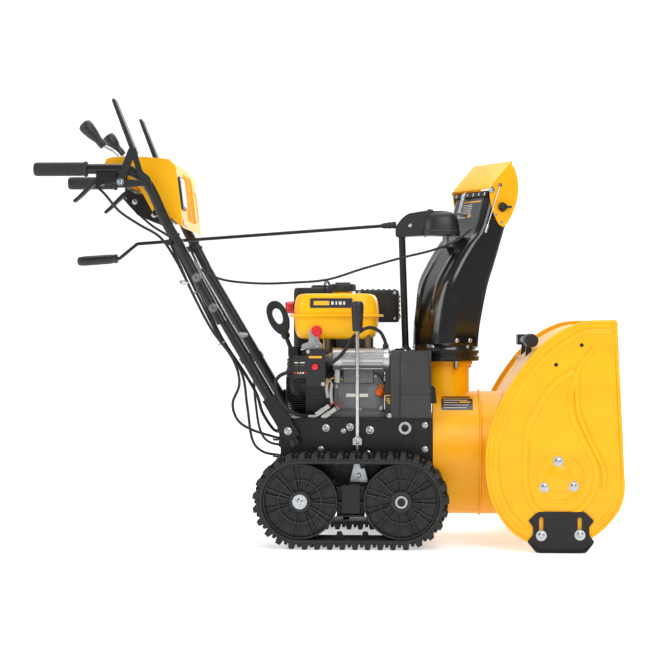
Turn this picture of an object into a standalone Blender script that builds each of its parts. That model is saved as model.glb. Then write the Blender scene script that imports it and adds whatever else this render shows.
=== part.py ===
"""Two stage, track driven snowblower, modelled as an assembly of separate sub-parts.

Frame: +X is the way the machine drives, +Y is its left side and +Z is up. The origin is on the
ground, below the middle of the machine. All sizes are in metres.
"""

import math

import bmesh
import bpy
from mathutils import Matrix, Vector

# ---------------------------------------------------------------- driving dimensions

GAP = 0.0003                    # clearance between pieces that touch
SHEET = 0.003                   # sheet steel of the housings
LEFT = 1
RIGHT = -1
SIDES = {"right": RIGHT, "left": LEFT}

HOUSING_HALF_WIDTH = 0.305      # to the outer face of an auger housing side plate
SIDE_PLATE = 0.004
SHELL_INSET = 0.009             # the wrapped sheet runs this far inside the side plates' edge
MOUTH_X = 0.733

AUGER_X = 0.575
AUGER_Z = 0.180
AUGER_RADIUS = 0.148
AUGER_SHAFT_RADIUS = 0.0125

DRUM_BACK_X = 0.2703
DRUM_FRONT_X = 0.4700
DRUM_Z = 0.223                  # height of the impeller shaft
DRUM_RADIUS = 0.160
SHAFT_RADIUS = 0.0125

CHUTE_X = 0.305                 # the chute swivels on the vertical line through here
CHUTE_YAW = math.radians(32.0)  # how far it is turned to the left at rest
STUB_RADIUS = 0.060
STUB_TOP_Z = 0.4615
CHUTE_BASE_Z = 0.4620
CHUTE_HALF_WIDTH = 0.0825
CHUTE_SHEET = 0.0025
HINGE_REACH = 0.085             # the deflector's hinge, ahead of the swivel axis
HINGE_Z = 0.905

CHASSIS_BACK_X = -0.117
CHASSIS_FRONT_X = 0.2697
CHASSIS_HALF_WIDTH = 0.150
CHASSIS_LOW_Z = 0.165
CHASSIS_TOP_Z = 0.3192

AXLE_Z = 0.118
AXLE_X = -0.060                 # driven wheels
IDLER_X = 0.191                 # idler wheels
AXLE_RADIUS = 0.0125
WHEEL_RADIUS = 0.0935
BELT_INNER = 0.0943
BELT_OUTER = 0.1040
LUG_OUTER = 0.1180
TRACK_INNER_Y = 0.1615
TRACK_OUTER_Y = 0.2830

CRANK_Z = 0.405                 # engine crankshaft, along X
ENGINE_PULLEY_RADIUS = 0.036
IMPELLER_PULLEY_RADIUS = 0.085
PULLEY_X = (0.206, 0.226)

TUBE_RADIUS = 0.0140            # lower handlebars
UPPER_TUBE_RADIUS = 0.0130
GRIP_RADIUS = 0.0175
LOWER_BAR_Y = 0.1645
UPPER_BAR_Y = 0.1930
GRIP_Y = 0.2250
GRIP_Z = 0.9470
GRIP_END_X = 0.733              # the grips reach as far back as the housing reaches forward
DASH_HALF_WIDTH = 0.1890

YELLOW = ((0.94, 0.47, 0.004), 0.35, 0.0)
BLACK = ((0.014, 0.014, 0.014), 0.45, 0.0)
PLASTIC = ((0.035, 0.035, 0.037), 0.60, 0.0)
RUBBER = ((0.012, 0.012, 0.012), 0.80, 0.0)
STEEL = ((0.55, 0.55, 0.54), 0.35, 1.0)
ALUMINIUM = ((0.48, 0.48, 0.47), 0.45, 1.0)
CAST_IRON = ((0.045, 0.045, 0.047), 0.60, 0.8)
RED = ((0.60, 0.012, 0.012), 0.40, 0.0)

PARTS = "two_stage_snowblower"
TOOLS = "cutters"

# ---------------------------------------------------------------- modelling helpers


def clear_scene():
    """Empty the file and make the two collections."""
    for old in list(bpy.data.objects):
        bpy.data.objects.remove(old, do_unlink=True)
    for name in (PARTS, TOOLS):
        collection = bpy.data.collections.new(name)
        bpy.context.scene.collection.children.link(collection)


def finish_of(name, look):
    """A Principled material of its own for one sub-part."""
    colour, roughness, metallic = look
    material = bpy.data.materials.new(name)
    material.use_nodes = True
    shader = material.node_tree.nodes["Principled BSDF"]
    shader.inputs["Base Color"].default_value = (*colour, 1.0)
    shader.inputs["Roughness"].default_value = roughness
    shader.inputs["Metallic"].default_value = metallic
    return material


def add(name, data, look=None):
    """Link new data as a part, or as a hidden cutter where it has no look."""
    thing = bpy.data.objects.new(name, data)
    bpy.data.collections[PARTS if look else TOOLS].objects.link(thing)
    if look:
        data.materials.append(finish_of(name, look))
    else:
        thing.hide_render = True
        thing.display_type = "WIRE"
    return thing


def block(name, low, high, look=None, bevel=0.0):
    """A box between two corners, with its edges rounded by a bevel."""
    low = Vector(low)
    high = Vector(high)
    shape = bmesh.new()
    bmesh.ops.create_cube(shape, size=1.0)
    size = high - low
    bmesh.ops.scale(shape, vec=size, verts=shape.verts)
    mesh = bpy.data.meshes.new(name)
    shape.to_mesh(mesh)
    shape.free()
    thing = add(name, mesh, look)
    thing.location = (low + high) / 2
    if bevel:
        rounding = thing.modifiers.new("rounding", "BEVEL")
        rounding.width = bevel
        rounding.segments = 2
    return thing


def cylinder(name, start, end, radius, look=None, sides=24, end_radius=None):
    """A cylinder or a cone between two points."""
    start = Vector(start)
    end = Vector(end)
    shape = bmesh.new()
    bmesh.ops.create_cone(
        shape,
        cap_ends=True,
        segments=sides,
        radius1=radius,
        radius2=radius if end_radius is None else end_radius,
        depth=(end - start).length,
    )
    mesh = bpy.data.meshes.new(name)
    shape.to_mesh(mesh)
    shape.free()
    shade(mesh)
    thing = add(name, mesh, look)
    thing.location = (start + end) / 2
    thing.rotation_euler = (end - start).to_track_quat("Z", "Y").to_euler()
    return thing


def shade(mesh):
    """Smooth shading with the real edges kept sharp."""
    mesh.shade_smooth()
    mesh.set_sharp_from_angle(angle=math.radians(35))


AXIS_TURN = {
    "X": (0.0, math.pi / 2, 0.0),
    "Y": (-math.pi / 2, 0.0, 0.0),
    "Z": (0.0, 0.0, 0.0),
}


def turned(name, profile, place, axis, look=None, steps=20, ring=False):
    """A profile of (along the axis, radius) points, from high to low, turned about an axis."""
    shape = bmesh.new()
    corners = [shape.verts.new((radius, 0.0, along)) for along, radius in profile]
    for first, second in zip(corners, corners[1:]):
        shape.edges.new((first, second))
    if ring:
        shape.edges.new((corners[-1], corners[0]))
    mesh = bpy.data.meshes.new(name)
    shape.to_mesh(mesh)
    shape.free()
    thing = add(name, mesh, look)
    thing.location = place
    thing.rotation_euler = AXIS_TURN[axis]
    screw = thing.modifiers.new("turning", "SCREW")
    screw.steps = steps
    screw.render_steps = steps
    screw.use_merge_vertices = True
    screw.merge_threshold = 0.00005
    screw.use_smooth_shade = True
    return thing


PLANE_TURN = {
    "XZ": (math.pi / 2, 0.0, 0.0),
    "YZ": (math.pi / 2, 0.0, math.pi / 2),
    "XY": (0.0, 0.0, 0.0),
}
PLANE_NORMAL = {"XZ": Vector((0, 1, 0)), "YZ": Vector((1, 0, 0)), "XY": Vector((0, 0, 1))}


def plate(name, outlines, plane, low, high, look=None):
    """Closed outlines in a plane, filled and given the thickness from low to high."""
    curve = bpy.data.curves.new(name, "CURVE")
    curve.dimensions = "2D"
    curve.fill_mode = "BOTH"
    curve.extrude = (high - low) / 2
    for outline in outlines:
        spline = curve.splines.new("POLY")
        spline.points.add(len(outline) - 1)
        for point, (u, v) in zip(spline.points, outline):
            point.co = (u, v, 0.0, 1.0)
        spline.use_cyclic_u = True
    thing = add(name, curve, look)
    thing.rotation_euler = PLANE_TURN[plane]
    thing.location = PLANE_NORMAL[plane] * ((low + high) / 2)
    return as_mesh(thing)


def rod(name, points, radius, look=None, resolution=2):
    """A round bar, tube or cable through the points."""
    curve = bpy.data.curves.new(name, "CURVE")
    curve.dimensions = "3D"
    curve.bevel_depth = radius
    curve.bevel_resolution = resolution
    curve.use_fill_caps = True
    spline = curve.splines.new("POLY")
    spline.points.add(len(points) - 1)
    for point, place in zip(spline.points, points):
        point.co = (*place, 1.0)
    return as_mesh(add(name, curve, look))


def as_mesh(source):
    """The same shape as a mesh, with the caps of the curve welded on."""
    bpy.context.view_layer.update()
    graph = bpy.context.evaluated_depsgraph_get()
    mesh = bpy.data.meshes.new_from_object(source.evaluated_get(graph))
    shape = bmesh.new()
    shape.from_mesh(mesh)
    bmesh.ops.remove_doubles(shape, verts=shape.verts, dist=0.00001)
    shape.to_mesh(mesh)
    shape.free()
    shade(mesh)
    name = source.name
    place = source.matrix_world.copy()
    home = source.users_collection[0]
    hidden = source.hide_render
    bpy.data.objects.remove(source, do_unlink=True)
    thing = bpy.data.objects.new(name, mesh)
    home.objects.link(thing)
    thing.matrix_world = place
    thing.hide_render = hidden
    if hidden:
        thing.display_type = "WIRE"
    return thing


def boolean(thing, tool, operation):
    """Cut or join one object with a hidden one."""
    step = thing.modifiers.new(operation.lower() + "_" + tool.name[:40], "BOOLEAN")
    step.operation = operation
    step.solver = "EXACT"
    step.object = tool
    return thing


def cut(thing, *tools):
    """Take the tools away from an object."""
    for tool in tools:
        boolean(thing, tool, "DIFFERENCE")
    return thing


def join(thing, *tools):
    """Weld the tools to an object."""
    for tool in tools:
        boolean(thing, tool, "UNION")
    return thing


def pivot(thing, place):
    """Move an object's origin onto its joint, leaving its shape where it is."""
    target = Matrix.Translation(Vector(place))
    thing.data.transform(target.inverted() @ thing.matrix_basis)
    thing.matrix_basis = target
    return thing


def arc(centre, radius, start, end, steps):
    """Points on a circle between two angles in degrees."""
    points = []
    for step in range(steps + 1):
        angle = math.radians(start + (end - start) * step / steps)
        points.append((centre[0] + radius * math.cos(angle), centre[1] + radius * math.sin(angle)))
    return points


def inset(points, distance):
    """An open line moved sideways, to its right as it runs."""
    moved = []
    for index, point in enumerate(points):
        before = Vector(points[max(index - 1, 0)])
        after = Vector(points[min(index + 1, len(points) - 1)])
        along = (after - before).normalized()
        moved.append((point[0] + along.y * distance, point[1] - along.x * distance))
    return moved


def smooth(points, count):
    """Evenly spaced points on a Catmull-Rom curve through the given points."""
    ends = [Vector(points[0])] + [Vector(point) for point in points] + [Vector(points[-1])]
    fine = []
    for a, b, c, d in zip(ends, ends[1:], ends[2:], ends[3:]):
        for step in range(16):
            t = step / 16
            fine.append(
                0.5 * (2 * b + (c - a) * t + (2 * a - 5 * b + 4 * c - d) * t ** 2
                       + (3 * b - a - 3 * c + d) * t ** 3)
            )
    fine.append(ends[-1])
    lengths = [0.0]
    for first, second in zip(fine, fine[1:]):
        lengths.append(lengths[-1] + (second - first).length)
    route = []
    place = 0
    for index in range(count):
        goal = lengths[-1] * index / (count - 1)
        while place < len(fine) - 2 and lengths[place + 1] < goal:
            place += 1
        span = lengths[place + 1] - lengths[place]
        route.append(tuple(fine[place].lerp(fine[place + 1], (goal - lengths[place]) / span)))
    return route


def mirrored(points, side):
    """A route's points on the chosen side of the machine."""
    return [(x, side * y, z) for x, y, z in points]


def across(side, near, far):
    """The lower and upper Y of a piece between two distances from the middle."""
    return sorted((side * near, side * far))


# ---------------------------------------------------------------- auger housing

HOUSING_OUTLINE = [
    (0.714, 0.567), (0.637, 0.563), (0.572, 0.535), (0.519, 0.490), (0.474, 0.4325),
    (0.441, 0.379), (0.416, 0.322), (0.402, 0.269), (0.398, 0.216), (0.404, 0.155),
    (0.421, 0.106), (0.445, 0.067), (0.474, 0.040), (0.505, 0.024), (0.540, 0.018),
    (0.630, 0.018),
]
HOUSING_FRONT = [
    (0.661, 0.0405), (0.694, 0.069), (0.723, 0.110), (MOUTH_X, 0.151), (0.731, 0.208),
    (0.723, 0.371), (0.719, 0.453),
]


def make_housing():
    """The two side plates, the sheet wrapped between them and the scraper bar."""
    for word, side in SIDES.items():
        low, high = across(side, HOUSING_HALF_WIDTH - SIDE_PLATE, HOUSING_HALF_WIDTH)
        wall = plate("housing_side_" + word, [HOUSING_OUTLINE + HOUSING_FRONT], "XZ", low, high, YELLOW)
        bearing = cylinder(
            "bearing_hole_" + word,
            (AUGER_X, low - 0.01, AUGER_Z),
            (AUGER_X, high + 0.01, AUGER_Z),
            AUGER_SHAFT_RADIUS + 0.0006,
        )
        cut(wall, bearing)
    half = HOUSING_HALF_WIDTH - SIDE_PLATE - GAP
    line = inset(HOUSING_OUTLINE, -SHELL_INSET)
    back = inset(HOUSING_OUTLINE, -SHELL_INSET - SHEET)
    shell = plate("housing_shell", [line + back[::-1]], "XZ", -half, half, YELLOW)
    throat = cylinder("throat", (0.38, 0, DRUM_Z), (0.45, 0, DRUM_Z), DRUM_RADIUS - 0.004, sides=36)
    cut(shell, throat)
    block("scraper_bar", (0.560, -half, 0.0140), (0.646, half, 0.0240), STEEL)


def make_drum():
    """The round impeller casing with the stub that carries the chute."""
    drum = cylinder(
        "impeller_drum",
        (DRUM_BACK_X, 0, DRUM_Z),
        (DRUM_FRONT_X, 0, DRUM_Z),
        DRUM_RADIUS,
        YELLOW,
        sides=40,
    )
    stub = cylinder("stub", (CHUTE_X, 0, DRUM_Z + 0.06), (CHUTE_X, 0, STUB_TOP_Z), STUB_RADIUS, sides=32)
    collar = cylinder(
        "stub_collar",
        (CHUTE_X, 0, STUB_TOP_Z - 0.008),
        (CHUTE_X, 0, STUB_TOP_Z),
        STUB_RADIUS + 0.006,
        sides=32,
    )
    hollow = cylinder(
        "drum_hollow",
        (DRUM_BACK_X + SHEET, 0, DRUM_Z),
        (DRUM_FRONT_X + 0.02, 0, DRUM_Z),
        DRUM_RADIUS - SHEET,
        sides=40,
    )
    bore = cylinder(
        "stub_bore",
        (CHUTE_X, 0, DRUM_Z + 0.05),
        (CHUTE_X, 0, STUB_TOP_Z + 0.02),
        STUB_RADIUS - SHEET,
        sides=32,
    )
    shaft = cylinder(
        "drum_shaft_hole",
        (DRUM_BACK_X - 0.02, 0, DRUM_Z),
        (DRUM_BACK_X + 0.02, 0, DRUM_Z),
        SHAFT_RADIUS + 0.001,
    )
    shelf_z = DRUM_Z + DRUM_RADIUS + 0.006
    behind = block("stub_clip", (0.20, -0.10, 0.20), (DRUM_BACK_X, 0.10, shelf_z))
    behind_bore = block("bore_clip", (0.20, -0.10, 0.20), (DRUM_BACK_X + SHEET, 0.10, shelf_z + SHEET))
    cut(stub, behind)
    cut(bore, behind_bore)
    join(drum, stub, collar)
    space = plate(
        "housing_space",
        [inset(HOUSING_OUTLINE, GAP - SHELL_INSET)],
        "XZ",
        -HOUSING_HALF_WIDTH,
        HOUSING_HALF_WIDTH,
    )
    cut(drum, hollow, bore, shaft, space)


def make_skid_shoes():
    """Height adjusting shoes bolted to the side plates through upright slots."""
    outline = [(0.498, 0.014), (0.515, 0.0), (0.643, 0.0), (0.660, 0.014), (0.660, 0.0945), (0.498, 0.0945)]
    for word, side in SIDES.items():
        low, high = across(side, HOUSING_HALF_WIDTH + GAP, HOUSING_HALF_WIDTH + 0.0053)
        shoe = plate("skid_shoe_" + word, [outline], "XZ", low, high, BLACK)
        foot_low, foot_high = across(side, HOUSING_HALF_WIDTH + 0.001, HOUSING_HALF_WIDTH + 0.013)
        foot = block("skid_foot_" + word, (0.516, foot_low, 0.0), (0.642, foot_high, 0.005))
        join(shoe, foot)
        for number, slot_x in enumerate((0.533, 0.627)):
            slot = block(
                f"skid_slot_{word}_{number}",
                (slot_x - 0.0055, low - 0.01, 0.030),
                (slot_x + 0.0055, high + 0.01, 0.075),
            )
            cut(shoe, slot)


def make_clean_out_tool():
    """The stick used to clear a blocked chute, lying across the top of the housing."""
    grip = cylinder("clean_out_tool", (0.514, -0.225, 0.5165), (0.514, -0.120, 0.5165), 0.0170, PLASTIC)
    stick = cylinder("tool_stick", (0.514, -0.125, 0.5165), (0.514, 0.150, 0.5165), 0.0090)
    paddle = block("tool_paddle", (0.500, 0.145, 0.5010), (0.530, 0.235, 0.5310))
    join(grip, stick, paddle)
    pivot(grip, (0.514, 0.0, 0.5165))


# ---------------------------------------------------------------- auger and impeller

RIBBON_TURNS = 1.0
RIBBON_LENGTH = 0.205
RIBBON_INNER = 0.098
RIBBON_START_Y = 0.066


def ribbon(name, side, start_angle):
    """A helical band of the auger, as a strip swept by a Screw and thickened."""
    shape = bmesh.new()
    inner = shape.verts.new((RIBBON_INNER, 0.0, 0.0))
    outer = shape.verts.new((AUGER_RADIUS, 0.0, 0.0))
    shape.edges.new((inner, outer))
    mesh = bpy.data.meshes.new(name)
    shape.to_mesh(mesh)
    shape.free()
    band = add(name, mesh)
    band.location = (AUGER_X, side * RIBBON_START_Y, AUGER_Z)
    band.rotation_euler = (-side * math.pi / 2, 0.0, 0.0)
    band.rotation_euler.rotate_axis("Z", start_angle)
    screw = band.modifiers.new("sweep", "SCREW")
    screw.angle = side * RIBBON_TURNS * math.tau
    screw.screw_offset = RIBBON_LENGTH
    screw.steps = 18
    screw.render_steps = 18
    thicken = band.modifiers.new("thickness", "SOLIDIFY")
    thicken.thickness = 0.004
    thicken.offset = 0.0
    return band


def make_auger():
    """The cross shaft, its gearbox and the two ribbon augers pinned to the shaft."""
    end = HOUSING_HALF_WIDTH + 0.006
    shaft = cylinder("auger_shaft", (AUGER_X, -end, AUGER_Z), (AUGER_X, end, AUGER_Z), AUGER_SHAFT_RADIUS, STEEL)
    pivot(shaft, (AUGER_X, 0, AUGER_Z))
    case = turned(
        "auger_gearbox",
        [(0.036, 0.0), (0.036, 0.030), (0.022, 0.048), (-0.022, 0.048), (-0.036, 0.030), (-0.036, 0.0)],
        (AUGER_X, 0, AUGER_Z),
        "Y",
        CAST_IRON,
    )
    neck = cylinder("gearbox_neck", (0.480, 0, DRUM_Z), (AUGER_X, 0, DRUM_Z), 0.026)
    worm = block("gearbox_body", (AUGER_X - 0.045, -0.022, AUGER_Z), (AUGER_X + 0.030, 0.022, DRUM_Z + 0.020))
    bore = cylinder("gearbox_bore", (AUGER_X, -0.05, AUGER_Z), (AUGER_X, 0.05, AUGER_Z), AUGER_SHAFT_RADIUS + 0.001)
    join(case, neck, worm)
    cut(case, bore)
    for word, side in SIDES.items():
        low = 0.045
        high = 0.292
        tube = turned(
            "auger_flight_" + word,
            [(high, 0.0135), (high, 0.0190), (low, 0.0190), (low, 0.0135)],
            (AUGER_X, 0, AUGER_Z),
            "Y",
            BLACK,
            steps=20,
            ring=True,
        )
        if side == RIGHT:
            tube.rotation_euler = (math.pi / 2, 0.0, 0.0)
        for number in range(2):
            start = math.pi * number
            join(tube, ribbon(f"ribbon_{word}_{number}", side, start))
            for step in range(3):
                share = 0.15 + 0.35 * step
                angle = start + share * RIBBON_TURNS * math.tau
                y = side * (RIBBON_START_Y + share * RIBBON_LENGTH)
                direction = Vector((math.cos(angle), 0.0, -math.sin(angle)))
                foot = Vector((AUGER_X, y, AUGER_Z)) + direction * 0.0165
                tip = Vector((AUGER_X, y, AUGER_Z)) + direction * (RIBBON_INNER + 0.018)
                join(tube, cylinder(f"arm_{word}_{number}_{step}", foot, tip, 0.0055, sides=6))


def make_impeller():
    """The four bladed impeller and the shaft that turns it and the auger gearbox."""
    hub = turned(
        "impeller",
        [(0.378, 0.0131), (0.378, 0.028), (0.290, 0.028), (0.290, 0.0131)],
        (0, 0, DRUM_Z),
        "X",
        BLACK,
        steps=24,
        ring=True,
    )
    for number in range(4):
        angle = math.radians(45 + 90 * number)
        blade = block(f"blade_{number}", (0.290, -0.002, 0.020), (0.376, 0.002, 0.152))
        turn = Matrix.Rotation(angle, 4, "X")
        blade.matrix_world = Matrix.Translation((0, 0, DRUM_Z)) @ turn @ Matrix.Translation(blade.location)
        join(hub, blade)
    turned(
        "impeller_shaft",
        [
            (0.4795, 0.0), (0.4795, SHAFT_RADIUS), (PULLEY_X[1] + 0.004, SHAFT_RADIUS),
            (PULLEY_X[1] + 0.003, IMPELLER_PULLEY_RADIUS + 0.006),
            (PULLEY_X[1] - 0.003, IMPELLER_PULLEY_RADIUS + 0.006),
            (PULLEY_X[1] - 0.006, IMPELLER_PULLEY_RADIUS - 0.008),
            (PULLEY_X[0] + 0.006, IMPELLER_PULLEY_RADIUS - 0.008),
            (PULLEY_X[0] + 0.003, IMPELLER_PULLEY_RADIUS + 0.006),
            (PULLEY_X[0] - 0.003, IMPELLER_PULLEY_RADIUS + 0.006),
            (PULLEY_X[0] - 0.004, SHAFT_RADIUS), (0.190, SHAFT_RADIUS), (0.190, 0.0),
        ],
        (0, 0, DRUM_Z),
        "X",
        STEEL,
        steps=24,
    )


def loop_outline(front, front_radius, back, back_radius, steps):
    """The outline of a belt round two wheels, as two arcs with straight runs between."""
    reach = Vector(front) - Vector(back)
    heading = math.degrees(math.atan2(reach.y, reach.x))
    lean = math.degrees(math.asin((back_radius - front_radius) / reach.length))
    half = 90 - lean
    points = arc(front, front_radius, heading - half, heading + half, steps)
    points += arc(back, back_radius, heading + half, heading + 360 - half, steps)
    return points


def make_auger_belt():
    """The V belt from the engine's pulley down to the impeller's pulley."""
    top = (0.0, CRANK_Z)
    low = (0.0, DRUM_Z)
    outer = loop_outline(top, ENGINE_PULLEY_RADIUS + 0.003, low, IMPELLER_PULLEY_RADIUS + 0.003, 14)
    inner = loop_outline(top, ENGINE_PULLEY_RADIUS - 0.004, low, IMPELLER_PULLEY_RADIUS - 0.004, 14)
    middle = sum(PULLEY_X) / 2
    plate("auger_belt", [outer, inner], "YZ", middle - 0.003, middle + 0.003, RUBBER)


# ---------------------------------------------------------------- chassis and drive


def make_chassis():
    """The folded steel box that carries the engine, with the gear case inside."""
    wall = CHASSIS_HALF_WIDTH
    frame = block(
        "chassis",
        (CHASSIS_BACK_X, -wall, CHASSIS_LOW_Z),
        (CHASSIS_FRONT_X, wall, CHASSIS_TOP_Z),
        BLACK,
    )
    inside = block(
        "chassis_inside",
        (CHASSIS_BACK_X + SHEET, -wall + SHEET, CHASSIS_LOW_Z - 0.05),
        (CHASSIS_FRONT_X - SHEET, wall - SHEET, CHASSIS_TOP_Z - SHEET),
    )
    belts = block("belt_slot", (0.172, -0.110, 0.300), (0.262, 0.110, 0.330))
    cut(frame, inside, belts)
    for word, side in SIDES.items():
        low, high = across(side, wall - SHEET - 0.0005, wall)
        join(frame, block("axle_lug_" + word, (-0.098, low, 0.088), (-0.022, high, 0.200)))
    case = block("gear_case", (-0.100, -0.035, 0.080), (-0.020, 0.035, CHASSIS_TOP_Z - 0.001))
    join(frame, case)
    axle = cylinder("axle_holes", (AXLE_X, -0.20, AXLE_Z), (AXLE_X, 0.20, AXLE_Z), AXLE_RADIUS + 0.001)
    shaft = cylinder("front_hole", (0.25, 0, DRUM_Z), (0.29, 0, DRUM_Z), SHAFT_RADIUS + 0.001)
    cut(frame, axle, shaft)


def make_belt_cover():
    """The moulded cover over the belts, open underneath."""
    low_z = CHASSIS_TOP_Z + GAP
    cover = block("belt_cover", (0.1625, -0.150, low_z), (0.2657, 0.150, 0.489), PLASTIC)
    inside = block("cover_inside", (0.1655, -0.147, low_z - 0.02), (0.2627, 0.147, 0.486))
    notch_low = Vector((0.2160, -0.0930, 0.4530))
    notch_high = Vector((0.2800, 0.0930, 0.5000))
    wall = Vector((SHEET, SHEET, SHEET))
    notch = block("chute_notch", notch_low, notch_high)
    notch_wall = block("chute_notch_wall", notch_low - wall, notch_high + wall)
    stub_low = Vector((CHUTE_X - STUB_RADIUS - 0.004, -STUB_RADIUS - 0.004, 0.3840))
    stub_high = Vector((0.2800, STUB_RADIUS + 0.004, 0.4600))
    stub_notch = block("stub_notch", stub_low, stub_high)
    stub_wall = block("stub_notch_wall", stub_low - wall, stub_high + wall)
    cut(inside, notch_wall, stub_wall)
    hole = cylinder("cover_hole", (0.15, 0, CRANK_Z), (0.18, 0, CRANK_Z), 0.020)
    cut(cover, notch, stub_notch, inside, hole)


def make_drive():
    """The friction disc driven by the engine and the wheel that rolls on it."""
    turned(
        "drive_disc",
        [(0.152, 0.0), (0.152, 0.040), (0.135, 0.045), (0.128, 0.066), (0.122, 0.066), (0.122, 0.0)],
        (0, 0, 0.242),
        "X",
        CAST_IRON,
        steps=32,
    )
    turned(
        "friction_wheel",
        [
            (0.140, 0.0), (0.140, 0.008), (0.046, 0.008), (0.045, 0.048), (0.033, 0.048),
            (0.032, 0.008), (-0.140, 0.008), (-0.140, 0.0),
        ],
        (0.122 - 0.048 - GAP, 0, 0.242),
        "Y",
        RUBBER,
        steps=28,
    )


def track_outline():
    """The outer line of a track, with its driving lugs."""
    straight = IDLER_X - AXLE_X
    around = math.tau * BELT_OUTER
    total = 2 * straight + around
    lugs = 37
    pitch = total / lugs
    points = []
    for number in range(lugs):
        for share, height in ((0.05, BELT_OUTER), (0.20, LUG_OUTER), (0.55, LUG_OUTER), (0.70, BELT_OUTER)):
            run = (number + share) * pitch
            points.append(point_on_loop(run, straight, height))
    return points


def point_on_loop(run, straight, radius):
    """The point at a distance along the track, measured on the belt's outer face."""
    half_turn = math.pi * BELT_OUTER
    if run < straight:
        return (AXLE_X + run, AXLE_Z - radius)
    run -= straight
    if run < half_turn:
        angle = run / BELT_OUTER
        return (IDLER_X + radius * math.sin(angle), AXLE_Z - radius * math.cos(angle))
    run -= half_turn
    if run < straight:
        return (IDLER_X - run, AXLE_Z + radius)
    angle = (run - straight) / BELT_OUTER
    return (AXLE_X - radius * math.sin(angle), AXLE_Z + radius * math.cos(angle))


def make_tracks():
    """The track carriage, its wheels and the two rubber tracks."""
    inner_y = CHASSIS_HALF_WIDTH + GAP * 2
    outer_y = TRACK_INNER_Y - 0.001
    front = (IDLER_X, AXLE_Z)
    back = (AXLE_X, AXLE_Z)
    carriage = cylinder("track_carriage", (0.115, -outer_y, AXLE_Z), (0.115, outer_y, AXLE_Z), 0.0125, BLACK)
    for word, side in SIDES.items():
        low, high = across(side, inner_y, outer_y)
        beam = plate("beam_" + word, [loop_outline(front, 0.026, back, 0.026, 8)], "XZ", low, high)
        web_low, web_high = across(side, inner_y + 0.002, TRACK_OUTER_Y - 0.020)
        web = block("beam_web_" + word, (0.0440, web_low, 0.088), (0.0880, web_high, 0.158))
        join(carriage, beam, web)
    pin = cylinder("idler_pin", (IDLER_X, -0.291, AXLE_Z), (IDLER_X, 0.291, AXLE_Z), 0.0100)
    gap_between = block("pin_gap", (0.15, -inner_y, 0.09), (0.23, inner_y, 0.15))
    cut(pin, gap_between)
    join(carriage, pin)
    axle = cylinder("carriage_bore", (AXLE_X, -0.20, AXLE_Z), (AXLE_X, 0.20, AXLE_Z), AXLE_RADIUS + 0.001)
    cut(carriage, axle)
    pivot(carriage, (AXLE_X, 0, AXLE_Z))
    for word, side in SIDES.items():
        track_low, track_high = across(side, TRACK_INNER_Y, TRACK_OUTER_Y)
        inside = loop_outline(front, BELT_INNER, back, BELT_INNER, 16)
        belt = plate("track_belt_" + word, [track_outline(), inside], "XZ", track_low, track_high, RUBBER)
        pivot(belt, (AXLE_X, 0, AXLE_Z))
        turn = -side * math.pi / 2
        wheel = turned(
            "drive_wheel_" + word,
            [
                (0.287, 0.0), (0.287, 0.018), (0.276, 0.018), (0.276, 0.030), (0.266, 0.032),
                (0.266, 0.080), (0.275, 0.082), (0.275, WHEEL_RADIUS), (0.232, WHEEL_RADIUS),
                (0.232, 0.078), (0.212, 0.078), (0.212, WHEEL_RADIUS), (0.168, WHEEL_RADIUS),
                (0.168, 0.030), (0.164, AXLE_RADIUS), (0.0365, AXLE_RADIUS), (0.0365, 0.0),
            ],
            (AXLE_X, 0, AXLE_Z),
            "Y",
            CAST_IRON,
        )
        wheel.rotation_euler = (turn, 0.0, 0.0)
        idler = turned(
            "idler_wheel_" + word,
            [
                (0.276, 0.0110), (0.276, 0.030), (0.266, 0.032), (0.266, 0.080), (0.275, 0.082),
                (0.275, WHEEL_RADIUS), (0.232, WHEEL_RADIUS), (0.232, 0.078), (0.212, 0.078),
                (0.212, WHEEL_RADIUS), (0.168, WHEEL_RADIUS), (0.168, 0.0110),
            ],
            (IDLER_X, 0, AXLE_Z),
            "Y",
            CAST_IRON,
            ring=True,
        )
        idler.rotation_euler = (turn, 0.0, 0.0)


def make_height_lever():
    """The upright lever that raises and lowers the machine on its tracks."""
    x = 0.080
    y = -0.1900
    lever = rod("height_lever", [(x, y, 0.260), (x, y, 0.560)], 0.0050, STEEL)
    grip = cylinder("lever_grip", (x, y, 0.539), (x, y, 0.615), 0.0125, end_radius=0.0155)
    link = block("lever_link", (x - 0.020, -0.2000, 0.2540), (x + 0.020, -0.1800, 0.2700))
    join(lever, grip, link)


# ---------------------------------------------------------------- engine


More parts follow.
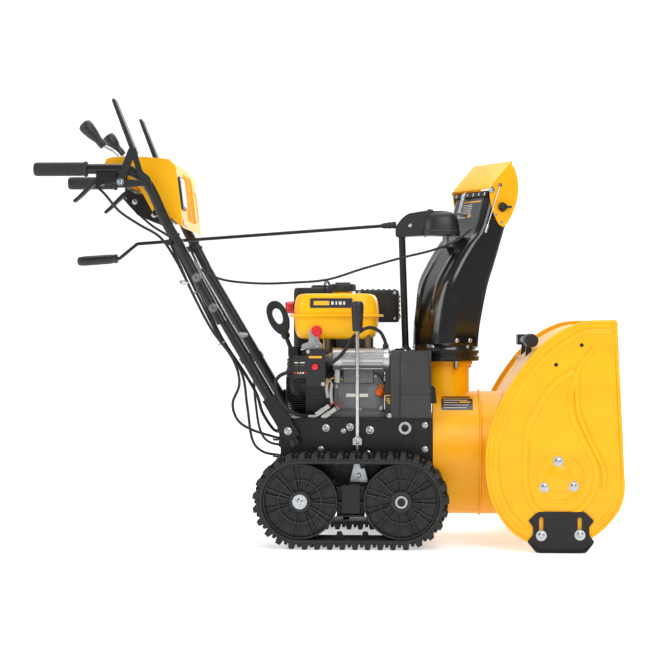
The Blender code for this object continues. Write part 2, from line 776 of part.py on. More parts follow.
def make_engine():
    """Crankcase, cylinder, crankshaft with flywheel and pulley, and the pieces on top."""
    low_z = CHASSIS_TOP_Z + GAP
    case = block("engine_block", (0.019, -0.085, low_z), (0.143, 0.085, 0.435), CAST_IRON)
    cylinder_box = block("cylinder_box", (0.024, 0.060, 0.375), (0.140, 0.160, 0.490))
    pedestal = block("tank_pedestal", (0.0205, -0.050, 0.425), (0.100, 0.072, 0.5187))
    bore = cylinder("crank_bore", (0.0, 0, CRANK_Z), (0.17, 0, CRANK_Z), SHAFT_RADIUS + 0.001)
    join(case, cylinder_box, pedestal)
    cut(case, bore)
    groove = ENGINE_PULLEY_RADIUS - 0.008
    rim = ENGINE_PULLEY_RADIUS + 0.006
    turned(
        "crankshaft",
        [
            (0.234, 0.0), (0.234, SHAFT_RADIUS), (PULLEY_X[1] + 0.004, SHAFT_RADIUS),
            (PULLEY_X[1] + 0.002, rim), (PULLEY_X[1] - 0.003, rim), (PULLEY_X[1] - 0.006, groove),
            (PULLEY_X[0] + 0.006, groove), (PULLEY_X[0] + 0.003, rim), (PULLEY_X[0] - 0.003, rim),
            (PULLEY_X[0] - 0.004, SHAFT_RADIUS), (0.010, SHAFT_RADIUS), (0.009, 0.030),
            (0.002, 0.076), (-0.020, 0.076), (-0.024, 0.030), (-0.070, 0.020), (-0.070, 0.0),
        ],
        (0, 0, CRANK_Z),
        "X",
        STEEL,
        steps=20,
    )
    turned(
        "recoil_housing",
        [
            (0.014, 0.0810), (0.014, 0.0850), (-0.060, 0.0850), (-0.085, 0.0800), (-0.107, 0.0720),
            (-0.107, 0.0250), (-0.102, 0.0220), (-0.102, 0.0690), (-0.082, 0.0770), (-0.060, 0.0810),
        ],
        (0, 0, CRANK_Z),
        "X",
        PLASTIC,
        steps=28,
        ring=True,
    )
    make_recoil_handle()
    make_tank()
    muffler = block("muffler", (0.064, 0.085, 0.562), (0.183, 0.165, 0.649), BLACK, bevel=0.010)
    join(muffler, cylinder("exhaust_pipe", (0.100, 0.120, 0.4903), (0.100, 0.120, 0.570), 0.013))
    block("intake_cover", (-0.100, 0.078, 0.4903), (0.040, 0.158, 0.655), PLASTIC, bevel=0.008)
    motor = cylinder("starter_motor", (0.004, -0.128, 0.468), (0.158, -0.128, 0.468), 0.028, ALUMINIUM)
    join(motor, block("motor_foot", (0.040, -0.110, 0.400), (0.120, -0.0855, 0.460)))
    knob = turned(
        "choke_knob",
        [(-0.1003, 0.0), (-0.1003, 0.014), (-0.1060, 0.014), (-0.1080, 0.010), (-0.122, 0.008), (-0.122, 0.0)],
        (0, 0.118, 0.602),
        "X",
        RED,
        steps=20,
    )
    join(knob, block("choke_wing", (-0.124, 0.1155, 0.588), (-0.106, 0.1205, 0.616)))
    make_starter_box()


def make_recoil_handle():
    """The pull handle of the recoil starter, on its short stem."""
    slant = Vector((-0.376, 0.0, 0.927))
    foot = Vector((-0.1024, -0.0220, 0.5008))
    handle = block("recoil_handle", (-0.011, -0.024, 0.038), (0.011, 0.024, 0.122), PLASTIC, bevel=0.007)
    hole = block("finger_hole", (-0.030, -0.012, 0.058), (0.030, 0.012, 0.110))
    stem = cylinder("recoil_stem", (0, 0, -0.021), (0, 0, 0.045), 0.006, sides=12)
    place = Matrix.Translation(foot) @ slant.to_track_quat("Z", "Y").to_matrix().to_4x4()
    for piece in (handle, hole, stem):
        piece.matrix_world = place @ piece.matrix_basis
    cut(handle, hole)
    join(handle, stem)
    return handle


def make_tank():
    """The fuel tank with its screw cap."""
    tank = block("fuel_tank", (-0.088, -0.125, 0.519), (0.130, 0.075, 0.635), YELLOW, bevel=0.022)
    flange = block("tank_flange", (-0.098, -0.135, 0.5765), (0.142, 0.077, 0.5825))
    neck = cylinder("filler_neck", (0.037, -0.030, 0.625), (0.037, -0.030, 0.6415), 0.025)
    join(tank, flange, neck)
    cap = turned(
        "fuel_cap",
        [(0.662, 0.0), (0.662, 0.030), (0.660, 0.034), (0.6425, 0.034), (0.6425, 0.0)],
        (0.037, -0.030, 0),
        "Z",
        PLASTIC,
        steps=28,
    )
    return cap


def make_starter_box():
    """The switch box of the electric starter, with its button and the throttle beside it."""
    box = block("starter_box", (-0.082, -0.185, 0.400), (-0.002, -0.145, 0.492), PLASTIC, bevel=0.005)
    arm = block("starter_arm", (-0.040, -0.150, 0.430), (0.000, -0.0975, 0.450))
    well = cylinder("button_well", (-0.027, -0.20, 0.449), (-0.027, -0.176, 0.449), 0.0090, sides=20)
    join(box, arm)
    cut(box, well)
    button = cylinder("start_button", (-0.027, -0.191, 0.449), (-0.027, -0.1812, 0.449), 0.0082, RED, sides=20)
    pivot(button, (-0.027, -0.186, 0.449))
    lever = block("throttle_lever", (-0.031, -0.1440, 0.4930), (-0.019, -0.1405, 0.530), RED)
    knob = block("throttle_knob", (-0.037, -0.1500, 0.5240), (-0.013, -0.1370, 0.556), bevel=0.003)
    join(lever, knob)
    pivot(lever, (-0.025, -0.142, 0.498))


# ---------------------------------------------------------------- handlebars and controls

LOWER_BAR = [(-0.345, LOWER_BAR_Y, 0.712), (-0.150, LOWER_BAR_Y, 0.380), (-0.0745, LOWER_BAR_Y, 0.2525)]
UPPER_BAR = [
    (-0.262, UPPER_BAR_Y, 0.560), (-0.342, UPPER_BAR_Y, 0.706), (-0.372, 0.2000, 0.762),
    (-0.402, 0.2080, 0.815), (-0.437, 0.2180, 0.893), (-0.462, 0.2235, 0.927),
    (-0.497, GRIP_Y, 0.944), (-0.540, GRIP_Y, GRIP_Z), (-0.725, GRIP_Y, GRIP_Z),
]


def make_handlebars():
    """The lower bars on the chassis, the upper bars bolted beside them, and the grips."""
    lower = rod("lower_handlebar", mirrored(LOWER_BAR, LEFT), TUBE_RADIUS, BLACK)
    other = rod("lower_bar_right", mirrored(LOWER_BAR, RIGHT), TUBE_RADIUS)
    brace = cylinder("bar_brace", (-0.236, -LOWER_BAR_Y, 0.527), (-0.236, LOWER_BAR_Y, 0.527), 0.009, sides=16)
    join(lower, other, brace)
    for word, side in SIDES.items():
        bar = rod("upper_handlebar_" + word, mirrored(smooth(UPPER_BAR, 18), side), UPPER_TUBE_RADIUS, BLACK)
        tab_low, tab_high = across(side, 0.2200, 0.2300)
        tab = block("lever_tab_" + word, (-0.519, tab_low, 0.9040), (-0.503, tab_high, 0.9390))
        pin = cylinder("lever_pin_" + word, (-0.511, side * 0.2280, 0.912), (-0.511, side * 0.2390, 0.912), 0.0045,
                       sides=16)
        join(bar, tab, pin)
        turned(
            "grip_" + word,
            [
                (-0.598, UPPER_TUBE_RADIUS + 0.0004), (-0.598, 0.0205), (-0.603, 0.0205),
                (-0.606, GRIP_RADIUS), (-0.729, GRIP_RADIUS), (-GRIP_END_X, 0.0140), (-GRIP_END_X, 0.0),
                (-0.7255, 0.0), (-0.7255, UPPER_TUBE_RADIUS + 0.0004),
            ],
            (0, side * GRIP_Y, GRIP_Z),
            "X",
            RUBBER,
            steps=24,
            ring=True,
        )
        make_clutch_lever(word, side)
        make_trigger(word, side)


def make_clutch_lever(word, side):
    """A lever above the grip: a webbed bracket on its pivot and a broad blade."""
    web_low, web_high = across(side, 0.2395, 0.2475)
    web = plate(
        "clutch_lever_" + word,
        [[(-0.518, 0.903), (-0.433, 0.905), (-0.436, 0.930), (-0.470, 0.948), (-0.487, 1.000), (-0.500, 0.998)]],
        "XZ",
        web_low,
        web_high,
        BLACK,
    )
    blade_low, blade_high = across(side, 0.1990, 0.2475)
    blade = plate(
        "clutch_blade_" + word,
        [[(-0.487, 0.985), (-0.484, 0.995), (-0.527, 1.122), (-0.534, 1.122), (-0.500, 0.985)]],
        "XZ",
        blade_low,
        blade_high,
    )
    join(web, blade)
    pivot(web, (-0.511, side * 0.2435, 0.912))


def make_trigger(word, side):
    """The steering trigger under a grip."""
    low, high = across(side, 0.2150, 0.2350)
    trigger = plate(
        "trigger_" + word,
        [[(-0.556, 0.921), (-0.571, 0.926), (-0.602, 0.904), (-0.636, 0.868), (-0.629, 0.861), (-0.590, 0.889),
          (-0.560, 0.905)]],
        "XZ",
        low,
        high,
        BLACK,
    )
    pivot(trigger, (-0.563, side * GRIP_Y, 0.915))


DASH_OUTLINE = [
    (-0.563, 0.960), (-0.556, 0.977), (-0.538, 0.981), (-0.461, 0.981), (-0.398, 0.975), (-0.379, 0.955),
    (-0.360, 0.800), (-0.396, 0.829), (-0.432, 0.830), (-0.472, 0.902), (-0.520, 0.920),
]


def make_dash():
    """The control panel between the upper bars and the two levers on it."""
    dash = plate("dash_panel", [DASH_OUTLINE], "XZ", -DASH_HALF_WIDTH, DASH_HALF_WIDTH, YELLOW)
    hollow = plate(
        "dash_hollow",
        [[(-0.550, 0.930), (-0.552, 0.970), (-0.538, 0.976), (-0.461, 0.976), (-0.401, 0.970), (-0.384, 0.953),
          (-0.368, 0.835), (-0.366, 0.780), (-0.420, 0.780), (-0.440, 0.800), (-0.480, 0.890)]],
        "XZ",
        -DASH_HALF_WIDTH + 0.004,
        DASH_HALF_WIDTH - 0.004,
    )
    cut(dash, hollow)
    levers = (
        ("speed_lever", -0.045, [(-0.500, 0.905), (-0.545, 0.992), (-0.590, 1.025)], (-0.590, 1.025), (-0.640, 1.080)),
        ("deflector_lever", 0.045, [(-0.500, 0.905), (-0.530, 0.980), (-0.555, 1.010)], (-0.555, 1.010), (-0.594, 1.056)),
    )
    for name, y, line, knob_foot, knob_top in levers:
        slot = block("slot_" + name, (-0.600, y - 0.008, 0.930), (-0.480, y + 0.008, 1.000))
        cut(dash, slot)
        lever = rod(name, [(x, y, z) for x, z in line], 0.0050, PLASTIC, resolution=2)
        foot = Vector((knob_foot[0], y, knob_foot[1]))
        top = Vector((knob_top[0], y, knob_top[1]))
        join(lever, cylinder("knob_" + name, foot, top, 0.0110, sides=16, end_radius=0.0170))
        join(lever, cylinder("boss_" + name, (-0.500, y - 0.006, 0.905), (-0.500, y + 0.006, 0.905), 0.010, sides=16))
        pivot(lever, (-0.500, y, 0.905))


def make_cables():
    """The control cables that the machine holds all the way along."""
    deflector = [
        (-0.330, -0.120, 0.700), (-0.270, -0.115, 0.672), (-0.180, -0.110, 0.662), (-0.090, -0.100, 0.664),
        (0.000, -0.090, 0.672), (0.090, -0.080, 0.700), (0.190, -0.075, 0.728), (0.270, -0.070, 0.748),
        (0.330, -0.070, 0.772), (0.366, -0.066, 0.800),
    ]
    rod("deflector_cable", smooth(deflector, 42), 0.0030, RUBBER)
    control = [
        (-0.400, -0.170, 0.795), (-0.375, -0.150, 0.740), (-0.325, -0.140, 0.640), (-0.270, -0.138, 0.525),
        (-0.215, -0.136, 0.440), (-0.180, -0.134, 0.380), (-0.165, -0.120, 0.330), (-0.138, -0.105, 0.287),
        (-0.1190, -0.100, 0.283),
    ]
    rod("control_cable", smooth(control, 30), 0.0040, RUBBER)


# ---------------------------------------------------------------- chute

CHUTE_SPINE = [
    # height, back plate's offset from the swivel axis, side wall's front edge
    (0.500, -0.072, 0.040),
    (0.560, -0.068, 0.048),
    (0.654, -0.048, 0.070),
    (0.710, -0.018, 0.090),
    (0.767, 0.022, 0.110),
    (0.797, 0.048, 0.120),
    (0.836, 0.064, 0.132),
    (0.905, 0.085, 0.140),
]


def chute_axis():
    """The upright line on which the chute and its deflector swivel."""
    empty = bpy.data.objects.new("chute_axis", None)
    bpy.data.collections[PARTS].objects.link(empty)
    empty.location = (CHUTE_X, 0.0, 0.0)
    empty.rotation_euler = (0.0, 0.0, CHUTE_YAW)
    return empty


def u_section(height, back, front, corner):
    """One open section of the chute, from the right wall's front edge round the back."""
    half = CHUTE_HALF_WIDTH
    points = [(front, -half, height), ((front + back) / 2 + 0.01, -half, height)]
    for step in range(5):
        angle = math.radians(-90 - 22.5 * step)
        points.append((
            back + corner + corner * math.cos(angle),
            -half + corner + corner * math.sin(angle),
            height,
        ))
    points += [(x, -y, z) for x, y, z in reversed(points)]
    return points


def make_chute(axis):
    """The curved discharge chute: a loft of open sections, thickened, on its ring."""
    shape = bmesh.new()
    rows = []
    for height, back, front in CHUTE_SPINE:
        corner = 0.050 if height < 0.65 else 0.020
        rows.append([shape.verts.new(point) for point in u_section(height, back, front, corner)])
    for lower, upper in zip(rows, rows[1:]):
        for column in range(len(lower) - 1):
            shape.faces.new((lower[column], lower[column + 1], upper[column + 1], upper[column]))
    bmesh.ops.recalc_face_normals(shape, faces=shape.faces)
    mesh = bpy.data.meshes.new("chute")
    shape.to_mesh(mesh)
    shape.free()
    chute = add("chute", mesh, BLACK)
    thicken = chute.modifiers.new("sheet", "SOLIDIFY")
    thicken.thickness = CHUTE_SHEET
    thicken.offset = 0.0
    ring = turned(
        "chute_ring",
        [(0.5060, 0.0640), (0.5060, 0.0860), (CHUTE_BASE_Z, 0.0860), (CHUTE_BASE_Z, 0.0640)],
        (0, 0, 0),
        "Z",
        steps=36,
        ring=True,
    )
    ear = block("chute_ear", (-0.014, -0.014, 0.7560), (0.036, 0.014, 0.7600))
    join(chute, ring, ear)
    for piece in (chute, ring, ear):
        piece.parent = axis


def make_deflector(axis):
    """The tilting hood on the end of the chute, with its wing knob and return spring."""
    profile = [
        (0.000, 0.004), (0.060, 0.070), (0.084, 0.021), (0.076, -0.021), (0.056, -0.074),
        (0.035, -0.095), (0.019, -0.081), (0.004, -0.053),
    ]
    ear_line = [(HINGE_REACH + a, HINGE_Z + z) for a, z in profile]
    half = CHUTE_HALF_WIDTH + CHUTE_SHEET / 2 + 0.0012
    wall = 0.003
    hood = plate("deflector", [ear_line], "XZ", -half - wall, -half, YELLOW)
    left = plate("deflector_left", [ear_line], "XZ", half, half + wall)
    roof_line = [(HINGE_REACH - 0.004, HINGE_Z + 0.0060), (HINGE_REACH + 0.060, HINGE_Z + 0.0765),
                 (HINGE_REACH + 0.064, HINGE_Z + 0.073), (HINGE_REACH + 0.001, HINGE_Z + 0.0025)]
    roof = plate("deflector_roof", [roof_line], "XZ", -half - wall, half + wall)
    join(hood, left, roof)
    pivot(hood, (HINGE_REACH, 0, HINGE_Z))
    y = -half - wall - GAP
    knob = cylinder("deflector_knob", (0.1180, y, 0.862), (0.1180, y - 0.010, 0.862), 0.010, PLASTIC, sides=16)
    wing = block("knob_wing", (0.0980, y - 0.018, 0.859), (0.1380, y - 0.008, 0.865))
    join(knob, wing)
    pivot(knob, (0.1180, y, 0.862))
    spring = rod("deflector_spring", [(0.0530, 0.020, 0.8395), (0.0735, 0.020, 0.9065)], 0.0050, STEEL)
    for piece in (hood, left, roof, knob, wing, spring):
        piece.parent = axis


def make_chute_drive():
    """The post with the gear head over the chute's axis, and the crank that turns it."""
    post = rod("chute_post", [(0.200, 0, 0.4895), (0.190, 0, 0.800)], 0.0090, BLACK)
    foot = block("post_foot", (0.172, -0.030, 0.4893), (0.2145, 0.030, 0.4935))
    arm = block("post_arm", (0.176, -0.022, 0.7890), (0.290, 0.022, 0.8350), bevel=0.005)
    cap = turned(
        "gear_cap",
        [(0.853, 0.0), (0.853, 0.026), (0.842, 0.0375), (0.7880, 0.0375), (0.7880, 0.0)],
        (CHUTE_X, 0, 0),
        "Z",
        steps=28,
    )
    bolt = cylinder("pivot_bolt", (CHUTE_X, 0, 0.7603), (CHUTE_X, 0, 0.795), 0.008, sides=16)
    join(post, foot, arm, cap, bolt)
    start = Vector((0.1755, 0, 0.817))
    end = Vector((-0.505, 0, 0.769))
    rear = (start - end).normalized()
    down = Vector((rear.z, 0, -rear.x))
    line = [start, end, end - rear * 0.006 + down * 0.003, end - rear * 0.046 + down * 0.031,
            end - rear * 0.056 + down * 0.035, end - rear * 0.158 + down * 0.035]
    crank = rod("chute_crank", [tuple(point) for point in line], 0.0045, BLACK)
    grip = cylinder("crank_grip", line[4], line[5] - rear * 0.004, 0.0120, sides=16)
    join(crank, grip)
    pivot(crank, tuple(end))


def build():
    """Model the whole machine."""
    clear_scene()
    make_housing()
    make_drum()
    make_skid_shoes()
    make_clean_out_tool()
    make_auger()
    make_impeller()
    make_auger_belt()
    make_chassis()
    make_belt_cover()
    make_drive()
    make_tracks()
    make_height_lever()
    make_engine()
    make_handlebars()
    make_dash()
    make_cables()
    axis = chute_axis()
    make_chute(axis)
    make_deflector(axis)
    make_chute_drive()


build()
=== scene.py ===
"""Surfaces, finishes, light and camera of a two stage, track driven snowblower.

Frame: metres, +X is the way the machine drives, +Y is its left side and +Z is up. New pieces are
worked out as numpy grids in place, round the CAD frame, and ride on its bodies.
"""

import logging
import math
from dataclasses import dataclass
from enum import Enum
from typing import Any, Sequence

import bmesh
import bpy
import numpy as np
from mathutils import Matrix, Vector, geometry


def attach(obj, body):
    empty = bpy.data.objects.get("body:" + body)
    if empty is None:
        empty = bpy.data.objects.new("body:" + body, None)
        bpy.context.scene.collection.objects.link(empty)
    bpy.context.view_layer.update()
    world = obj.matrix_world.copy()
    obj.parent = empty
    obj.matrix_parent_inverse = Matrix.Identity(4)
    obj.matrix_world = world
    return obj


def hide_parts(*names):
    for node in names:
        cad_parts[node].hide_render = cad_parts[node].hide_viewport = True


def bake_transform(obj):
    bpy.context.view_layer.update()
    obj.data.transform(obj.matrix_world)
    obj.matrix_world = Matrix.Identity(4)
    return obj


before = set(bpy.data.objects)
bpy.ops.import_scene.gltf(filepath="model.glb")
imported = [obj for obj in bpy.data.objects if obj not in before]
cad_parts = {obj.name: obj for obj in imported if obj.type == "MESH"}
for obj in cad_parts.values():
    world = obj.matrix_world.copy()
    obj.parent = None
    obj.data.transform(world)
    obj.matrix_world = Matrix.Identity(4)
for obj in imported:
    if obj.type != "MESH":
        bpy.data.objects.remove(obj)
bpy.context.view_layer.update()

LOG = logging.getLogger("snowblower")
MM = 0.001
Points = np.ndarray
Place = Sequence[float]
Rows = Sequence[Place]
SPAN_STEPS = 24  # steps along each span of a smooth path
SHARP_DEGREES = 38.0  # edges bent more than this look sharp
FLAT_DEGREES = 0.6  # faces that differ by less than this are joined
SIDES = {"right": -1.0, "left": 1.0}
AHEAD, LEFT, UP = (1, 0, 0), (0, 1, 0), (0, 0, 1)
BACK, RIGHT, DOWN = (-1, 0, 0), (0, -1, 0), (0, 0, -1)


# ---------------------------------------------------------------- finishes


def linear(code: str) -> tuple[float, float, float, float]:
    """Turn an sRGB hex colour into the linear RGBA that shaders read.

    Args:
        code: six hex digits.

    Returns:
        Linear red, green and blue, and an alpha of one.
    """
    shares = [int(code[place:place + 2], 16) / 255 for place in (0, 2, 4)]
    red, green, blue = [share / 12.92 if share <= 0.04045 else ((share + 0.055) / 1.055) ** 2.4
        for share in shares]
    return (red, green, blue, 1.0)


def wire(tree: bpy.types.NodeTree, kind: str, settings: dict[str, Any],
        inputs: dict[Any, Any]) -> bpy.types.Node:
    """Add a node with its settings and its inputs.

    Args:
        tree: the material's node tree.
        kind: the node's type name.
        settings: the node's own properties.
        inputs: a value, or another node's output socket, for each named input.

    Returns:
        The new node.
    """
    made = tree.nodes.new(kind)
    for name, value in settings.items():
        setattr(made, name, value)
    for name, value in inputs.items():
        if isinstance(value, bpy.types.NodeSocket):
            tree.links.new(value, made.inputs[name])
        else:
            made.inputs[name].default_value = value
    return made


class Grain(Enum):
    """How a surface's fine relief was made."""

    PEEL = "orange peel of a sprayed coat"
    LEATHER = "etched grain of a moulding tool"
    CAST = "sand cast skin"
    BRUSHED = "drawn or brushed lines"
    PRISMS = "moulded ribs of a lamp lens"


@dataclass(frozen=True)
class Finish:
    """One real material: its colours, how it shines, and the relief on its surface.

    The colour drifts between two tones over mottle_mm, the roughness varies by drift, and the
    relief repeats every grain_mm and is relief_mm deep. A glow lights lit paper from behind.
    """

    name: str
    colour: str
    second: str
    roughness: float
    drift: float
    grain: Grain
    grain_mm: float
    relief_mm: float
    mottle_mm: float = 60.0
    metallic: float = 0.0
    ior: float = 1.5
    coat: float = 0.0
    transmission: float = 0.0
    speck: str = ""
    speck_mm: float = 1.0
    glow: float = 0.0

    def relief(self, tree: bpy.types.NodeTree, place: bpy.types.NodeSocket) -> bpy.types.NodeSocket:
        """Height pattern of the grain, from 0 to 1.

        Args:
            tree: the material's node tree.
            place: the object coordinates.

        Returns:
            The socket that holds the height.
        """
        scale = 1.0 / (self.grain_mm * MM)
        if self.grain is Grain.LEATHER:
            cells = wire(tree, "ShaderNodeTexVoronoi", {"feature": "SMOOTH_F1"},
                {"Vector": place, "Scale": scale})
            return cells.outputs["Distance"]
        if self.grain is Grain.BRUSHED:
            lines = wire(tree, "ShaderNodeMapping", {}, {"Vector": place, "Scale": (1.0, 1.0, 0.03)})
            noise = wire(tree, "ShaderNodeTexNoise", {}, {"Vector": lines.outputs[0], "Scale": scale,
                "Detail": 3.0})
            return noise.outputs["Fac"]
        if self.grain is Grain.PRISMS:
            bands = wire(tree, "ShaderNodeTexWave", {"bands_direction": "Y"},
                {"Vector": place, "Scale": scale / 20})
            return bands.outputs["Fac"]
        detail = 6.0 if self.grain is Grain.CAST else 2.0
        noise = wire(tree, "ShaderNodeTexNoise", {}, {"Vector": place, "Scale": scale, "Detail": detail})
        return noise.outputs["Fac"]

    def material(self) -> bpy.types.Material:
        """The finish as a node material, made once.

        Returns:
            The Blender material.
        """
        known = bpy.data.materials.get(self.name)
        if known:
            return known
        made = bpy.data.materials.new(self.name)
        made.use_nodes = True
        tree = made.node_tree
        shader = tree.nodes["Principled BSDF"]
        place = wire(tree, "ShaderNodeTexCoord", {}, {}).outputs["Object"]
        scale = 1.0 / (self.mottle_mm * MM)
        drift = wire(tree, "ShaderNodeTexNoise", {}, {"Vector": place, "Scale": scale, "Detail": 4.0})
        tone = wire(tree, "ShaderNodeMapRange", {}, {"Value": drift.outputs["Fac"], "From Min": 0.35,
            "From Max": 0.65})
        blend = wire(tree, "ShaderNodeMix", {"data_type": "RGBA"},
            {0: tone.outputs[0], 6: linear(self.colour), 7: linear(self.second)})
        colour = blend.outputs[2]
        height = self.relief(tree, place)
        if self.speck:
            dots = wire(tree, "ShaderNodeTexNoise", {},
                {"Vector": place, "Scale": 1 / (self.speck_mm * MM)})
            mask = wire(tree, "ShaderNodeMapRange", {}, {"Value": dots.outputs["Fac"], "From Min": 0.62,
                "From Max": 0.72})
            colour = wire(tree, "ShaderNodeMix", {"data_type": "RGBA"},
                {0: mask.outputs[0], 6: colour, 7: linear(self.speck)}).outputs[2]
        tree.links.new(colour, shader.inputs["Base Color"])
        shine = wire(tree, "ShaderNodeMapRange", {},
            {"Value": height, "To Min": self.roughness - self.drift, "To Max": self.roughness + self.drift})
        tree.links.new(shine.outputs[0], shader.inputs["Roughness"])
        bump = wire(tree, "ShaderNodeBump", {}, {"Strength": 0.6, "Distance": self.relief_mm * MM,
            "Height": height})
        tree.links.new(bump.outputs[0], shader.inputs["Normal"])
        shader.inputs["Metallic"].default_value = self.metallic
        shader.inputs["IOR"].default_value = self.ior
        shader.inputs["Coat Weight"].default_value = self.coat
        shader.inputs["Coat Roughness"].default_value = 0.12
        shader.inputs["Transmission Weight"].default_value = self.transmission
        if self.glow:
            shader.inputs["Emission Color"].default_value = linear(self.colour)
            shader.inputs["Emission Strength"].default_value = self.glow
        return made


# Polyester powder coat on sheet steel: a warm yellow with a soft gloss and a fine orange peel.
YELLOW = Finish("yellow_powder_coat", "F9B508", "F5AD04", 0.34, 0.05, Grain.PEEL, 1.8, 0.05, ior=1.42)
# The same coat in black on bars, chassis and wheels: satin, slightly grey where it catches light.
BLACK = Finish("black_powder_coat", "111111", "171717", 0.36, 0.07, Grain.PEEL, 1.2, 0.06, ior=1.42)
# Blow moulded tank in dyed polyethylene: yellow, waxier and softer than the coat.
TANK = Finish("yellow_polyethylene", "FCBC04", "F8B402", 0.34, 0.05, Grain.LEATHER, 1.0, 0.03, ior=1.36)
# Injection moulded polypropylene covers: charcoal with an etched leather grain.
CHARCOAL = Finish("charcoal_polypropylene", "2F2F30", "363637", 0.55, 0.06, Grain.LEATHER, 1.1, 0.08)
# Black ABS of housings, knobs and switch boxes: deep black, satin, fine grain.
ABS = Finish("black_abs", "151516", "1B1B1C", 0.42, 0.06, Grain.LEATHER, 0.8, 0.05)
# Glossy high density polyethylene of the chute: wet highlights over slow moulding waves.
CHUTE_BLACK = Finish("gloss_black_polyethylene", "0E0E0F", "141415", 0.2, 0.05, Grain.PEEL, 22.0, 0.35,
    coat=0.3)
# Natural rubber of the tracks: dull, charcoal, with a bloom and fine pits.
RUBBER = Finish("track_rubber", "171716", "1F1F1E", 0.7, 0.08, Grain.CAST, 1.6, 0.2, speck="3A3936",
    speck_mm=5.0)
# Softer rubber of grips and cable jackets.
SOFT_RUBBER = Finish("grip_rubber", "161616", "1E1E1E", 0.66, 0.06, Grain.LEATHER, 0.7, 0.06)
# Bright zinc plate on bolts, rods and springs: pale, with a faint blue cast and small spangles.
ZINC = Finish("zinc_plated_steel", "C4C7CA", "AEB2B6", 0.26, 0.08, Grain.LEATHER, 2.0, 0.02, 8.0,
    metallic=1.0)
# Brushed bare steel of the height lever's plate: lines along the rolling direction.
BRUSHED = Finish("brushed_steel", "B8BABC", "9EA1A4", 0.32, 0.08, Grain.BRUSHED, 0.5, 0.05, 20.0,
    metallic=1.0)
# Gravity cast aluminium of the starter motor and covers: light grey with a fine sand skin.
ALUMINIUM = Finish("cast_aluminium", "B2B3B5", "9FA1A3", 0.44, 0.08, Grain.CAST, 0.9, 0.1, 25.0,
    metallic=0.9)
# Darker, painted casting of the crankcase: mid grey, matt, with a coarser skin.
CRANKCASE = Finish("grey_crankcase_casting", "77787A", "6A6B6D", 0.5, 0.08, Grain.CAST, 1.2, 0.14, 30.0,
    metallic=0.7)
# Phosphated cast iron of gearbox, wheels and pulleys: near black with a metallic sheen.
IRON = Finish("phosphated_cast_iron", "2E2F30", "3A3B3C", 0.52, 0.08, Grain.CAST, 1.4, 0.16, 25.0,
    metallic=0.6)
# Heat resistant black coat on the exhaust guard: matt with a grey bloom.
HEAT_BLACK = Finish("heat_resistant_black", "171717", "232221", 0.5, 0.08, Grain.CAST, 0.8, 0.06,
    speck="31302E")
# Knobs and buttons moulded in red polyamide.
RED = Finish("red_polyamide", "DB1F27", "CF1820", 0.34, 0.04, Grain.LEATHER, 0.9, 0.03, ior=1.53)
# The oil cap and warning marks, in orange polypropylene.
ORANGE = Finish("orange_polypropylene", "F4720F", "EC660A", 0.36, 0.04, Grain.LEATHER, 0.9, 0.03)
# Natural nylon of the wire connectors: milky, a little translucent.
NYLON = Finish("natural_nylon", "B4B5B1", "A7A8A3", 0.42, 0.05, Grain.LEATHER, 0.8, 0.03, ior=1.53)
# Printed polyester film of the plates: flat dark blue grey under a clear top layer.
FILM = Finish("dark_label_film", "20232D", "262A35", 0.3, 0.04, Grain.PEEL, 2.5, 0.01, coat=0.5)
# Light bars printed on the film.
PRINT = Finish("pale_print", "E9E6DC", "DEDACF", 0.35, 0.04, Grain.PEEL, 2.5, 0.01, coat=0.4)
# Yellow bars printed on the film.
GOLD_PRINT = Finish("yellow_print", "F3B21A", "E8A40F", 0.35, 0.04, Grain.PEEL, 2.5, 0.01, coat=0.4)
# Clear polycarbonate lens of the work lamp, with moulded prisms over a bright reflector.
LENS = Finish("clear_polycarbonate", "E6EAEC", "D3D9DC", 0.12, 0.05, Grain.PRISMS, 3.0, 0.35, ior=1.58,
    coat=0.6)
# Pale seamless studio paper.
FLOOR = Finish("studio_paper", "F2F3F4", "EFF0F1", 0.75, 0.05, Grain.PEEL, 30.0, 0.02, 400.0, glow=0.55)
# Copper brown fibre of the carburettor's spacer and the plug's ceramic.
PHENOLIC = Finish("brown_phenolic", "5B4A38", "6B5843", 0.55, 0.06, Grain.CAST, 0.8, 0.05)


# ---------------------------------------------------------------- curves and frames


def mm(*rows: Place) -> Points:
    """Points in metres, from rows given in millimetres."""
    return np.array(rows, float) / 1000


def circle(count: int) -> Points:
    """Equal angles once round a circle, in radians."""
    return np.linspace(0.0, math.tau, count, endpoint=False)


def unit(vectors: Points) -> Points:
    """Vectors on the last axis, each divided by its length."""
    return vectors / np.linalg.norm(vectors, axis=-1, keepdims=True)


def curve(points: Rows, count: int, closed: bool = False) -> Points:
    """Even points on a Catmull-Rom curve through the given points.

    Each span is the cubic whose ends are two points and whose slopes are half the gap between
    their neighbours. The dense curve is then sampled at equal steps of its own length.

    Args:
        points: the points to pass through, in two or three dimensions.
        count: how many points to return.
        closed: whether the curve ends where it starts, in which case the end isn't repeated.

    Returns:
        An array of count points.
    """
    given = np.asarray(points, float)
    if closed:
        ring = np.vstack([given[-1:], given, given[:2]])
    else:
        ring = np.vstack([2 * given[:1] - given[1:2], given, 2 * given[-1:] - given[-2:-1]])
    share = np.linspace(0.0, 1.0, SPAN_STEPS, endpoint=False)[None, :, None]
    a, b, c, d = (ring[start:len(ring) - 3 + start, None, :] for start in range(4))
    span = 0.5 * (2 * b + (c - a) * share + (2 * a - 5 * b + 4 * c - d) * share ** 2
        + (3 * b - a - 3 * c + d) * share ** 3)
    dense = np.vstack([span.reshape(-1, given.shape[1]), ring[-2:-1]])
    return even(dense, count, closed)


